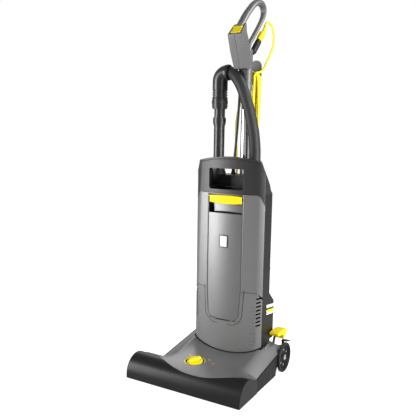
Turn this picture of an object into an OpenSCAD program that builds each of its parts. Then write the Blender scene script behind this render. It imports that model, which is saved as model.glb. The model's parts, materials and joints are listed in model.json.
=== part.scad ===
// Upright vacuum cleaner for commercial floors.
// Millimetres, +Z up, the floor at z = 0 and the brush head's front towards -Y.
// Sizes along Y count from a datum line over the axle, which at_axle() puts in place.

/* [Brush head] */
// Width of the brush hood
hood_w = 390; // [360:5:420]
// Datum line to the front of the brush hood
head_front = 304; // [296:2:320]
// Radius of the hood's crest
hood_r = 52; // [50:1:54]
// Height of the hood's crest
hood_top = 69; // [67:1:71]
// Wall of the moulded head parts
head_wall = 3; // [2.4:0.2:3.6]
// Height of the hood's lower edge over the floor
hood_lip = 3; // [2.5:0.5:4]
// Sideways step from the hood's middle to the body's middle
body_x = 30; // [20:1:31]
// Reach of the brush bristles
brush_r = 24; // [22:1:25]

/* [Running gear] */
// Wheel radius
wheel_r = 47; // [45:1:48]
// Wheel width
wheel_w = 10; // [9:1:11]
// Axle radius
axle_r = 6; // [5:0.5:7]
// Running clearance of a shaft in its bore
run_gap = 0.05; // [0.02:0.01:0.08]

/* [Height knob and pedal] */
// Radius of the height knob
knob_r = 24; // [22:0.5:26]
// Height of the knob's rim
knob_h = 9; // [7:1:12]
// Width of the release pedal
pedal_w = 30; // [26:1:32]

/* [Body] */
// Half width of the body at its sides
body_half = 118.5; // [116:0.5:120]
// Half width of the body's front face
corner_half = 106; // [103:0.5:108]
// Radius of the front face in plan
front_r = 360; // [340:10:400]
// Datum line to the middle of the front face
front_reach = 96; // [94:1:98]
// Wall of the body mouldings
body_wall = 3; // [2.4:0.2:3.4]
// Height of the seam between lower cover and front shell
lower_seam = 267; // [262:1:272]
// Height of the seam between front shell and cap
cap_seam = 571; // [568:1:575]
// Height of the cap's crown over its seam
cap_high = 114; // [109:1:119]

/* [Bag door] */
// Half width of the door
door_half = 59; // [56:0.5:61]
// Lowest point of the door
door_low = 168; // [164:1:172]
// Drop from the cap's seam to the door's upper edge
door_drop = 61; // [57:1:65]
// Thickness of the door
door_t = 5; // [4:0.5:6]
// Gap round the door
door_gap = 1; // [0.8:0.1:1.4]

/* [Handle and tubes] */
// Radius of the handle's pole
pole_r = 15; // [14:0.5:16]
// Radius of the accessory wand
wand_r = 17.5; // [16:0.5:18.5]
// Wall of the pole and of the wand
tube_wall = 1.5; // [1.2:0.1:2]
// Half width of the handle's box
grip_half = 24; // [22:1:26]
// Outer radius of the suction hose
hose_r = 18.5; // [17.5:0.5:20]
// Radius of the mains cord
cord_r = 3.75; // [3.5:0.05:4]

/* [Hidden] */

fine = 72;                  // facets on round parts
seat = 0.3;                 // clearance where one fixed piece seats in another
fold = 0.35;                // clearance between moving skins
axle_z = wheel_r;
side_half = hood_w / 2 - body_x;          // chassis side, flush with the hood's end
cover_half = side_half - head_wall - fold;
pole_y = 25;                // pole behind the datum line
hook_back = 96;             // end plate of the upper cord hook behind the datum line
hook_plate_t = 5;
rear_reach = 147.4;         // rearmost point of the handle's loop
axle_y = (head_front - rear_reach) / 2;
axle_back = 6;              // axle behind the datum line

// Brush head
crest_y = hood_r - head_front;
crest_z = hood_top - hood_r;
hood_fall = 40;             // degrees behind the crest where the arc ends
hood_back = -188;
hood_back_z = 45;
floor_z = 5.3;              // chassis floor over the sole plate
brush_y = crest_y - 2;
brush_z = brush_r + 0.6;
tunnel_r = brush_r + 3;
brush_end = hood_w / 2 - 11;
core_r = 16;
stub_r = 4;
tufts = 18;
slot_half = 19;
glide_h = 2;
glide_x = 150;
glide_y = -207;
duct_x0 = -96;
duct_x1 = -38;
duct_z0 = 9;
duct_z1 = 38;
cover_t = 3;
cover_tail = 27;            // rear end of the cover's arms
body_gap = 3;               // gap between the body and the cover's opening
wheel_in = cover_half + 0.6;
wheel_out = wheel_in + wheel_w;
inner_wheel = 108.5;        // the left wheel runs inboard, between the axle's two plates
centre_x = (body_x + wheel_out - hood_w / 2) / 2;
arch_r = wheel_r + 2.5;
knob_x = -35;
knob_y = -211;
knob_tilt = 8;
lamp_x = 24;
lamp_y = -203;
neck_r = 38;                // drum of the body round the axle
neck_half = 100;
stay_t = 5;                 // plates of the chassis that hold the axle
arm_in = body_half + body_gap;
motor_y = -165;
motor_z = 36;
motor_r = 21;
belt_x = cover_half - 19.65;
belt_w = 8;
motor_pulley_r = 8;
brush_pulley_r = 14;
belt_t = 1.6;
pedal_x = arm_in + 17.5;
pedal_y = 34;
pedal_z = 104;
pedal_pin_r = 2.5;

// Body
front_cy = front_r - front_reach;
side_y = -69;
chest_back = -14;           // rear edge of the sides above the motor
belly_back = 24;            // rear edge of the sides round the motor
belly_z = 223;
waist_z = 256;
spine_back = 48;
cap_top = cap_seam + cap_high;
tower_z = cap_seam + 53;
riser_top = cap_seam - 51;  // where the riser meets the wand's socket
tower_front = -28;
body_low = 66;
wand_x = -83;
wand_y = 2;
riser_x0 = -94;
riser_x1 = -58;
hose_x = 46;
hose_y = 4;
socket_top = tower_z + 16;
hose_end = socket_top + 25;
belly_low = 100;
shell_top = cap_seam - seat;
bag_floor = 276;            // partition between bag and motor
socket_r = 21.5;
lead_x = -40;
lead_y = 25;
vents = 8;
vent_low = 165;
vent_pitch = 12.2;
door_high = cap_seam - door_drop;
recess_high = cap_seam - 3;
recess_half = 59.5;
plate_top = cap_seam - 32.5;  // catch plate of the door, just under the latch
window_half = 60;
window_low = cap_seam + 13;
window_top = cap_seam + 77;
cap_floor = cap_seam + 19;
corner_z = cap_seam - 33;   // where the cap's front corners end on the sides
latch_z = cap_seam - 18;
latch_half = 56.5;
plate_half = 57.5;
latch_pin_y = -88;
latch_pin_z = latch_z + 9;
latch_pin_r = 2.5;
wand_low = cap_seam + 1;
wand_high = 838;
door_x = -5;                // middle of the door, the latch and the window
hinge_z = 171;
hinge_y = -92.9;
barrel_r = 2.4;
barrel_half = 26;
hinge_pin_r = 1.2;
fan_z = 130;
fan_top = bag_floor - 4.3;
fan_r = 42;
fan_y = -46;
bag_low = 292;
bag_high = door_high - 7;
inlet_z = bag_high - 37;

// Handle
pole_low = 440;
pole_high = 1000;
sleeve_low = 892;
sleeve_high = 962;
sleeve_r = pole_r + 3;
hook_disc_z = 974;
cord_lift = cord_r + 0.4;
arm_r = 9;
arm_z = 931;
pivot_r = 6;
low_arm_z = 400;
hook_front = 48.6;
lead_r = 4;
handle_low = 955;
rocker_half = 15;
rocker_l = 32;
rocker_y = -50;
rocker_z = 1067;
inlet_x = 13;
inlet_y = 38;
inlet_z0 = 1012;
inlet_tilt = 45;
inlet_len = 56.7;
inlet_run = 75;             // from the inlet's root to the connector's end, along Y
elbow_z = 921;
elbow_bend = 27;
elbow_r = 24.5;
elbow_turn = 96;
hose_rib = 1.6;
hose_wall = 3.4;

// ---------- shared functions and helpers ----------
function arc(cx, cy, r, a0, a1, n) =
  [for (i = [0:n]) let (a = a0 + (a1 - a0) * i / n) [cx + r * cos(a), cy + r * sin(a)]];

// Unit vector, and a frame square to it
function unit(v) = v / norm(v);
function side_of(t) = unit(cross(t, abs(t[2]) > 0.9 ? [0, 1, 0] : [0, 0, 1]));

// A smooth run through hand-picked points (Catmull-Rom), n steps to a span
function spline_at(p, i, u) =
  let (a = p[max(0, i - 1)], b = p[i], c = p[i + 1], d = p[min(len(p) - 1, i + 2)])
  0.5 * ((2 * b) + (c - a) * u + (2 * a - 5 * b + 4 * c - d) * u * u
         + (3 * b - a - 3 * c + d) * u * u * u);
function spline(p, n) = concat(
  [for (i = [0:len(p) - 2]) for (k = [0:n - 1]) spline_at(p, i, k / n)], [p[len(p) - 1]]);
function path_len(p) = len(p) < 2 ? 0 :
  [for (i = 0, s = 0; i < len(p); s = s + (i + 1 < len(p) ? norm(p[i + 1] - p[i]) : 0), i = i + 1)
      s][len(p) - 1];

// Tangents, and normals carried along the path without twist
function tangents(p) = [for (i = [0:len(p) - 1])
  unit(p[min(len(p) - 1, i + 1)] - p[max(0, i - 1)])];
function carried(t) = [for (i = 0, n = side_of(t[0]); i < len(t);
  i = i + 1, n = i < len(t) ? unit(n - (n * t[i]) * t[i]) : n) n];

// Rings of a tube; radii holds one radius for each point
function rings(p, radii, sides) = let (t = tangents(p), n = carried(t))
  [for (i = [0:len(p) - 1]) let (b = cross(t[i], n[i])) for (k = [0:sides - 1])
    p[i] + radii[i] * (cos(360 * k / sides) * n[i] + sin(360 * k / sides) * b)];
function wall_faces(m, sides, first, out) = [for (i = [0:m - 2]) for (k = [0:sides - 1])
  let (a = first + i * sides + k, b = first + i * sides + (k + 1) % sides)
  for (f = [[a, b, b + sides], [a, b + sides, a + sides]]) out ? [f[2], f[1], f[0]] : f];
function cap_faces(m, sides, first, out) = [for (e = [0, 1]) for (k = [1:sides - 2])
  let (s = first + e * (m - 1) * sides, f = [s, s + k, s + k + 1])
  (e == 0) == out ? f : [f[2], f[1], f[0]]];

// Solid tube swept along points; r is one radius or a list of them
module tube_along(p, r, sides) {
  m = len(p);
  polyhedron(rings(p, is_list(r) ? r : [for (q = p) r], sides),
    concat(wall_faces(m, sides, 0, true), cap_faces(m, sides, 0, true)));
}

// Tube with a bore, whose outer radius may change from ring to ring
module pipe_along(p, radii, bore, sides) {
  m = len(p);
  polyhedron(
    concat(rings(p, radii, sides), rings(p, [for (q = p) bore], sides)),
    concat(wall_faces(m, sides, 0, true), wall_faces(m, sides, m * sides, false),
      [for (k = [0:sides - 1]) let (l = (k + 1) % sides, b = m * sides)
        for (f = [[k, b + k, b + l], [k, b + l, l]]) [f[2], f[1], f[0]]],
      [for (k = [0:sides - 1]) let (l = (k + 1) % sides, a = (m - 1) * sides, b = a + m * sides)
        for (f = [[a + k, a + l, b + l], [a + k, b + l, b + k]]) [f[2], f[1], f[0]]]));
}

module at_axle() translate([-centre_x, axle_y, 0]) children();
module at_body() translate([body_x - centre_x, axle_y, 0]) children();
module along_x(x0, x1) translate([x0, 0, 0]) rotate([90, 0, 90]) linear_extrude(x1 - x0) children();
module rod_x(x0, x1, y, z, r) translate([x0, y, z]) rotate([0, 90, 0]) cylinder(h = x1 - x0, r = r,
    $fn = fine);
module rod_y(y0, y1, x, z, r) translate([x, y0, z]) rotate([-90, 0, 0]) cylinder(h = y1 - y0, r = r,
    $fn = fine);
module rod_z(z0, z1, x, y, r) translate([x, y, z0]) cylinder(h = z1 - z0, r = r, $fn = fine);
module block(lo, hi) translate(lo) cube(hi - lo);

// ---------- brush head ----------
// Section of the hood in the Y-Z plane, drawn in by t
function hood_section(t) = concat(
  [[hood_back - t, hood_lip - (t > 0 ? 1 : 0)], [-head_front + t, hood_lip - (t > 0 ? 1 : 0)]],
  arc(crest_y, crest_z, hood_r - t, 180, 90 - hood_fall, 20),
  [[hood_back - 3, hood_back_z + 1 - t], [hood_back - t, hood_back_z - t]]);
function hood_z(y) = y < crest_y + hood_r * sin(hood_fall)
  ? crest_z + sqrt(max(0, pow(hood_r, 2) - pow(y - crest_y, 2)))
  : hood_back_z + 1 + (crest_z + hood_r * cos(hood_fall) - hood_back_z - 1)
    * (hood_back - 3 - y) / (hood_back - 3 - crest_y - hood_r * sin(hood_fall));

// Front edge of the cover in plan, and the height of its skin
function cover_front(x) = -284 + 47 * pow(min(1, abs(x) / 150), 2.2);
function cover_mid(y) = y < knob_y ? 67 - 10 * pow((knob_y - y) / 73, 1.4) : 67;
function cover_rise(y) = 66 + 42 * pow(max(0, y + 200) / 225, 1.05);
function cover_edge(y) = y < hood_back - 3 ? hood_z(y) : hood_back_z + 1 + 0.15 * (y - hood_back + 3);
function cover_z(x, y) = let (h = abs(x), u = min(1, h / 112), v = max(0, (h - 112) / (cover_half - 112)))
  (cover_mid(y) + (cover_rise(y) - cover_mid(y)) * pow(u, 2.2)) * (1 - pow(v, 1.4))
  + cover_edge(y) * pow(v, 1.4);

// Plan outline of the body, drawn in by t and closed at yb
function body_plan(t, yb) = let (r = front_r - t, a = asin((corner_half - 0.6 * t) / r)) concat(
  [[-(body_half - t), yb], [-(body_half - t), side_y + 0.5 * t]],
  [for (i = [0:16]) let (b = -a + 2 * a * i / 16) [r * sin(b), front_cy - r * cos(b)]],
  [[body_half - t, side_y + 0.5 * t], [body_half - t, yb]]);

// Columns and rows of the cover's skin
cover_nx = 26;
cover_ny = 18;
function skin_x(i) = let (s = 2 * i / cover_nx - 1) cover_half * sin(90 * s) * 0.35 + cover_half * s * 0.65;
function skin_y(i, j) = let (f = cover_front(skin_x(i))) f + (cover_tail - f) * j / cover_ny;
function skin(drop) = [for (i = [0:cover_nx]) for (j = [0:cover_ny])
  [skin_x(i), skin_y(i, j), cover_z(skin_x(i), skin_y(i, j)) - drop]];

module cover_sheet(drop, t) {
  nx = cover_nx + 1;
  ny = cover_ny + 1;
  n = nx * ny;
  rim = concat([for (i = [0:nx - 1]) i * ny], [for (j = [1:ny - 1]) (nx - 1) * ny + j],
    [for (i = [nx - 2:-1:0]) i * ny + ny - 1], [for (j = [ny - 2:-1:1]) j]);
  polyhedron(concat(skin(drop), skin(drop + t)), concat(
    [for (i = [0:nx - 2]) for (j = [0:ny - 2]) let (a = i * ny + j)
      for (f = [[a, a + 1, a + ny + 1], [a, a + ny + 1, a + ny]]) f],
    [for (i = [0:nx - 2]) for (j = [0:ny - 2]) let (a = n + i * ny + j)
      for (f = [[a, a + ny + 1, a + 1], [a, a + ny, a + ny + 1]]) f],
    [for (k = [0:len(rim) - 1]) let (a = rim[k], b = rim[(k + 1) % len(rim)])
      for (f = [[a, b, b + n], [a, b + n, a + n]]) f]));
}

module wheel_space() rod_x(wheel_in - 0.5, wheel_out + 9, axle_back, axle_z, arch_r);

// Black hood over the brush, cut away where the cover lies
module brush_hood() color([0.13, 0.13, 0.14]) at_axle() difference() {
  along_x(-hood_w / 2, hood_w / 2) polygon(hood_section(0));
  along_x(-hood_w / 2 + head_wall, hood_w / 2 - head_wall) polygon(hood_section(head_wall));
  translate([body_x, 0, -1]) linear_extrude(100) polygon(concat(
    [for (i = [-12:12]) let (x = (cover_half + seat) * i / 12) [x, cover_front(x) - 4 * seat]],
    [[cover_half + seat, 0], [-cover_half - seat, 0]]));
}

// Chassis: brush tunnel, floor, side walls and the plates that carry the axle
function under_cover(x, y0, y1, n) = [for (i = [0:n]) let (y = y0 + (y1 - y0) * i / n)
  [y, cover_z(x, y) - cover_t - 1]];
module tunnel(r) polygon(concat([[brush_y + r, floor_z]], arc(brush_y, brush_z, r, 0, 180, 24),
  [[brush_y - r, floor_z]]));
module base_chassis() color([0.12, 0.12, 0.13]) at_axle() {
  difference() {
    union() {
      difference() {
        along_x(-hood_w / 2 + head_wall + seat, hood_w / 2 - head_wall - seat) tunnel(tunnel_r + 2.5);
        along_x(-hood_w / 2, hood_w / 2) translate([0, -1]) tunnel(tunnel_r);
        translate([-hood_w / 2, brush_y - tunnel_r, floor_z - 2]) cube([hood_w, 2 * tunnel_r, 6]);
      }
      translate([body_x, 0, 0]) {
        block([-cover_half, brush_y + tunnel_r, floor_z], [cover_half, -44, floor_z + 3]);
        for (s = [-1, 1]) {
          mirror([s < 0 ? 1 : 0, 0, 0]) {
            along_x(side_half - head_wall, side_half) polygon(concat(
              [[-52, floor_z], [hood_back + seat, floor_z]],
              [for (y = [hood_back + seat, s > 0 ? -36 : 9]) [y, cover_edge(y)]]));
            along_x(side_half - head_wall - 5, side_half - head_wall + 0.1) polygon(concat(
              [[-52, floor_z], [hood_back + seat, floor_z]],
              under_cover(cover_half, hood_back + seat, 9, 8)));
            along_x(arm_in, arm_in + stay_t) polygon(concat(
              [[-48, floor_z], [side_y - 6, floor_z]], under_cover(arm_in + stay_t, side_y - 6, -16, 6),
              [[-8, 84], [26, 78], [28, 62], [22, 30], [-10, 30]]));
            along_x(neck_half + 0.5, neck_half + 0.5 + stay_t) polygon(concat(
              [[-48, floor_z], [-74, floor_z], [-74, floor_z + 16]],
              arc(axle_back, axle_z, 17, 120, -80, 12)));
            block([arm_in + 1, 2, 60], [wheel_in - 1.5, 6, 72]);
            along_x(cover_half - 9.65, cover_half - 4.65) polygon([[3, 60], [3, 72], [19, 74], [21, 94], [32, 94], [30, 72], [16, 60]]);
            along_x(cover_half - 9.65, cover_half + 8.35) polygon([[17, 97], [30, 98], [50, 90], [50, 86], [30, 93], [17, 93]]);
          }
        }
        along_x(arm_in, arm_in + 2.2) polygon([[8, 66], [14, 80], [pedal_y - 7, pedal_z + 5], [pedal_y + 7,
            pedal_z + 5],
          [pedal_y + 7, pedal_z - 7], [26, 66]]);
        for (x = [48, belt_x - 24]) along_x(x, x + 5) difference() {
          polygon([[motor_y - 14, floor_z], [motor_y + 14, floor_z], [motor_y + 14, motor_z],
              [motor_y - 14, motor_z]]);
          translate([motor_y, motor_z]) circle(r = motor_r + seat, $fn = fine);
        }
      }
    }
    translate([body_x, 0, 0]) {
      wheel_space();
      rod_x(-side_half, side_half, axle_back, axle_z, axle_r + 0.02);
      rod_x(arm_in - 1, arm_in + 9, pedal_y, pedal_z, pedal_pin_r + 0.02);
      block([belt_x - 2, brush_y + 6, floor_z + 1], [belt_x + belt_w + 2, brush_y + tunnel_r + 8, 46]);
      block([duct_x0 + 2.5, brush_y + 10, duct_z0 + 2.5], [duct_x1 - 2.5, brush_y + tunnel_r + 8,
          duct_z1 - 2.5]);
    }
  }
}

module sole_plate() color([0.2, 0.2, 0.21]) at_axle() {
  in_x = hood_w / 2 - head_wall - seat;
  difference() {
    block([-in_x, -head_front + head_wall + seat, glide_h], [in_x, hood_back - head_wall - seat,
        floor_z - seat]);
    block([-in_x + 8, brush_y - slot_half, glide_h - 1], [in_x - 8, brush_y + slot_half, floor_z]);
  }
  for (s = [-1, 1]) block([s * glide_x - 20, glide_y - 7, 0], [s * glide_x + 20, glide_y + 7, glide_h]);
}

// Grey cover that flows over the head and round the body
module base_cover() color([0.42, 0.43, 0.44]) at_body() {
  difference() {
    cover_sheet(0, cover_t);
    translate([0, 0, -1]) linear_extrude(200) polygon(body_plan(-body_gap, cover_tail + 5));
    for (s = [0, 1]) mirror([s, 0, 0]) linear_extrude(200) polygon(concat([[arm_in - 9, -14]],
      [for (p = [[31.65, -7], [19.65, -3], [12.65, 4], [9.65, 12], [6.65, 17], [3.65, 18], [0.65, 15],
          [-1.35, 9], [-1.35, cover_tail + 5]]) [cover_half - p[0], p[1]]],
      [[arm_in - 9, cover_tail + 5]]));
    translate([knob_x, knob_y, cover_z(knob_x, knob_y)]) rotate([knob_tilt, 0, 0]) {
      cylinder(h = 20, r = knob_r + 1, center = true, $fn = fine);
    }
    translate([lamp_x, lamp_y, 40]) cylinder(h = 60, r = 5.3, $fn = 40);
  }
  knob_place() difference() {
    translate([0, 0, -8]) cylinder(h = 8, r = knob_r + 3, $fn = fine);
    translate([0, 0, -5]) cylinder(h = 8, r = knob_r + 1, $fn = fine);
    translate([0, 0, -20]) cylinder(h = 30, r = 5 + run_gap, $fn = 40);
  }
  hull() for (y = [-54, -22]) translate([arm_in + 6, y, cover_z(arm_in + 6, y)]) scale([1, 1, 0.5])
    sphere(r = 5, $fn = 16);
}
module knob_place() translate([knob_x, knob_y, cover_z(knob_x, knob_y)]) rotate([knob_tilt, 0, 0]) children();

module load_lamp() color([0.95, 0.5, 0.1]) at_body()
  translate([lamp_x, lamp_y, cover_z(lamp_x, lamp_y)]) {
    translate([0, 0, -9]) cylinder(h = 9.5, r = 5, $fn = 40);
    translate([0, 0, 0.5]) scale([1, 1, 0.35]) sphere(r = 5, $fn = 24);
  }

module brush_motor() color([0.5, 0.5, 0.52]) at_body() {
  rod_x(44, belt_x - 14, motor_y, motor_z, motor_r);
  rod_x(belt_x - 14, belt_x - 10, motor_y, motor_z, 9);
  rod_x(belt_x - 10, belt_x - 0.5, motor_y, motor_z, 3);
}
module motor_pulley() color([0.75, 0.75, 0.76]) at_body() difference() {
  union() {
    rod_x(belt_x, belt_x + belt_w, motor_y, motor_z, motor_pulley_r);
    for (x = [belt_x - 0.4, belt_x + belt_w + 0.4 - 1.4]) rod_x(x, x + 1.4, motor_y, motor_z,
        motor_pulley_r + 1.2);
  }
  rod_x(belt_x - 1, belt_x + 2.5, motor_y, motor_z, 3 + run_gap);
}
module drive_belt() color([0.08, 0.08, 0.08]) at_body() along_x(belt_x + 1.2, belt_x + belt_w - 1.2)
    difference() {
  hull() {
    translate([motor_y, motor_z]) circle(r = motor_pulley_r + belt_t + 0.15, $fn = 32);
    translate([brush_y, brush_z]) circle(r = brush_pulley_r + belt_t + 0.15, $fn = 32);
  }
  hull() {
    translate([motor_y, motor_z]) circle(r = motor_pulley_r + 0.15, $fn = 32);
    translate([brush_y, brush_z]) circle(r = brush_pulley_r + 0.15, $fn = 32);
  }
}

// Brush roller with two helical rows of tufts
module brush_roller() color([0.25, 0.25, 0.27]) at_axle() {
  x1 = body_x + belt_x - 4;
  rod_x(-brush_end + 3, x1, brush_y, brush_z, core_r);
  rod_x(x1, body_x + belt_x + belt_w + 2, brush_y, brush_z, brush_pulley_r);
  rod_x(-brush_end - 6, brush_end + 6, brush_y, brush_z, stub_r);
  for (row = [0, 180]) for (i = [0:tufts - 1])
    translate([-brush_end + 9 + i * (x1 + brush_end - 18) / (tufts - 1), brush_y, brush_z])
      rotate([row + i * 300 / tufts, 0, 0]) translate([0, 0, core_r - 1])
        cylinder(h = brush_r - core_r + 1, r = 2.4, $fn = 16);
}
module brush_bearings() color([0.3, 0.3, 0.32]) at_axle() for (s = [-1, 1]) difference() {
  along_x(min(s * brush_end, s * (brush_end + 7)), max(s * brush_end, s * (brush_end + 7)))
    polygon(concat([[brush_y + 12, floor_z]], arc(brush_y, brush_z, 12, 0, 180, 16), [[brush_y - 12,
        floor_z]]));
  rod_x(min(0, s * 300), max(0, s * 300), brush_y, brush_z, stub_r + run_gap);
}

// Duct from the brush tunnel to the body's neck
module suction_duct() color([0.28, 0.28, 0.3]) at_body() difference() {
  block([duct_x0, brush_y + 10, duct_z0], [duct_x1, -5, duct_z1]);
  block([duct_x0 + 2.5, brush_y, duct_z0 + 2.5], [duct_x1 - 2.5, 5, duct_z1 - 2.5]);
  rod_x(duct_x0 - 1, duct_x1 + 1, brush_y, brush_z, tunnel_r + 2.5 + seat);
  rod_x(duct_x0 - 1, duct_x1 + 1, axle_back, axle_z, neck_r + fold);
  block([duct_x0 - 1, brush_y, -1], [duct_x1 + 1, brush_y + tunnel_r + 2.5 + seat, brush_z]);
}

module axle() color([0.7, 0.7, 0.72]) at_body() {
  rod_x(-arm_in - stay_t - 3, wheel_out - 1.5, axle_back, axle_z, axle_r);
  rod_x(wheel_out - 3, wheel_out - 1.5, axle_back, axle_z, axle_r + 2.5);
  rod_x(-arm_in - stay_t - 2, -arm_in - stay_t - seat, axle_back, axle_z, axle_r + 2.5);
}

// Wheel: hub, web with spokes' recesses and a rim; the tyre is its own ring
module wheel_shape() rotate([0, 90, 0]) difference() {
  rotate_extrude($fn = fine) polygon([[axle_r + run_gap, 0], [13, 0], [15, 3], [wheel_r - 12, 3],
    [wheel_r - 9, 0.5], [wheel_r - 5, 0.5], [wheel_r - 5, wheel_w], [wheel_r - 9, wheel_w],
    [wheel_r - 12, wheel_w - 4], [15, wheel_w - 4], [13, wheel_w - 3.2], [axle_r + run_gap, wheel_w - 3.2]]);
  for (i = [0:5]) rotate([0, 0, 60 * i]) translate([(wheel_r + 2) / 2, 0, -1]) cylinder(h = wheel_w + 2,
      r = 5.5, $fn = 32);
}
module tyre_shape() rotate([0, 90, 0]) rotate_extrude($fn = fine) polygon([[wheel_r - 5, 0.5],
  [wheel_r - 1.5, 0.5], [wheel_r, 2], [wheel_r, wheel_w - 1.5], [wheel_r - 1.5, wheel_w], [wheel_r - 5,
      wheel_w]]);
module at_wheel(x) at_body() translate([x, axle_back, axle_z]) mirror([x < 0 ? 1 : 0, 0, 0]) children();
module wheel_left() color([0.16, 0.16, 0.17]) at_wheel(-inner_wheel) wheel_shape();
module wheel_right() color([0.16, 0.16, 0.17]) at_wheel(wheel_in) wheel_shape();
module tyre_left() color([0.07, 0.07, 0.07]) at_wheel(-inner_wheel) tyre_shape();
module tyre_right() color([0.07, 0.07, 0.07]) at_wheel(wheel_in) tyre_shape();

module height_knob() color([0.98, 0.87, 0.08]) at_body() knob_place() {
  translate([0, 0, -4.6]) cylinder(h = 4.6 + knob_h - 2, r = knob_r, $fn = fine);
  translate([0, 0, knob_h - 2]) cylinder(h = 2, r1 = knob_r, r2 = knob_r - 2, $fn = fine);
  translate([0, 0, knob_h - 0.5]) intersection() {
    cube([9, 2 * knob_r - 8, 9], center = true);
    cylinder(h = 9, r = knob_r - 3, center = true, $fn = fine);
  }
  translate([0, 0, -16]) cylinder(h = 12, r = 5, $fn = 40);
  translate([3, 0, -18]) cylinder(h = 4, r = 9, $fn = 40);
}

module release_pedal() color([0.98, 0.87, 0.08]) at_body() difference() {
  along_x(pedal_x - pedal_w / 2, pedal_x + pedal_w / 2) polygon(concat(
    [[-14, 118], [-16, 124], [-12, 128], [26, 131], [50, 127]], arc(50, 118, 9, 60, -40, 4),
    [[54, 103]], arc(pedal_y, pedal_z, 7, -60, -120, 4), [[pedal_y - 5, 112]]));
  rod_x(pedal_x - pedal_w, pedal_x + pedal_w, pedal_y, pedal_z, pedal_pin_r + run_gap);
}
module pedal_pin() color([0.7, 0.7, 0.72]) at_body()
  rod_x(arm_in, pedal_x + pedal_w / 2, pedal_y, pedal_z, pedal_pin_r);

// ---------- body ----------
function bottom_z(x) = body_low - 3 + 25 * pow(abs(x) / 107, 2.2);

// Front view of the door, grown by g
function door_outline(g) = concat([[door_x + door_half + g, door_high + g], [door_x + door_half + g, 275]],
  arc(door_x + 26, door_low + 28, 28 + g, 0, -90, 8), arc(door_x - 26, door_low + 28, 28 + g, -90, -180, 8),
  [[door_x - door_half - g, 275], [door_x - door_half - g, door_high + g]]);
module front_view(y0, y1) translate([0, y1, 0]) rotate([90, 0, 0]) linear_extrude(y1 - y0) children();

// Strip of the front face between two radii, from xa to xb
function front_arc(r, xa, xb, n) = let (a = asin(xa / r), b = asin(xb / r))
  [for (i = [0:n]) let (t = a + (b - a) * i / n) [r * sin(t), front_cy - r * cos(t)]];
function front_strip(r0, r1, xa, xb, n) = concat(front_arc(r0, xa, xb, n), front_arc(r1, xb, xa, n));
function door_strip(r0, r1, half, n) = front_strip(r0, r1, door_x - half, door_x + half, n);

// Plan of the spine that bulges behind the sides, drawn in by t
function spine_plan(t) = [[-body_half + t, chest_back - 20], [-body_half + t, chest_back - t],
  [-102 + t, 18 - t], [-88 + t, 34 - t], [-62 + t, spine_back - t], [62 - t, spine_back - t],
  [88 - t, 34 - t], [102 - t, 18 - t], [body_half - t, chest_back - t], [body_half - t, chest_back - 20]];
function side_profile(t) = [[side_y + 3.4, belly_low + t], [side_y + 3.4, shell_top - t],
  [chest_back - t, shell_top - t], [chest_back - t, waist_z + 0.4 * t], [belly_back - t, belly_z + 0.4 * t],
  [belly_back - t, belly_low + t]];

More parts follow.
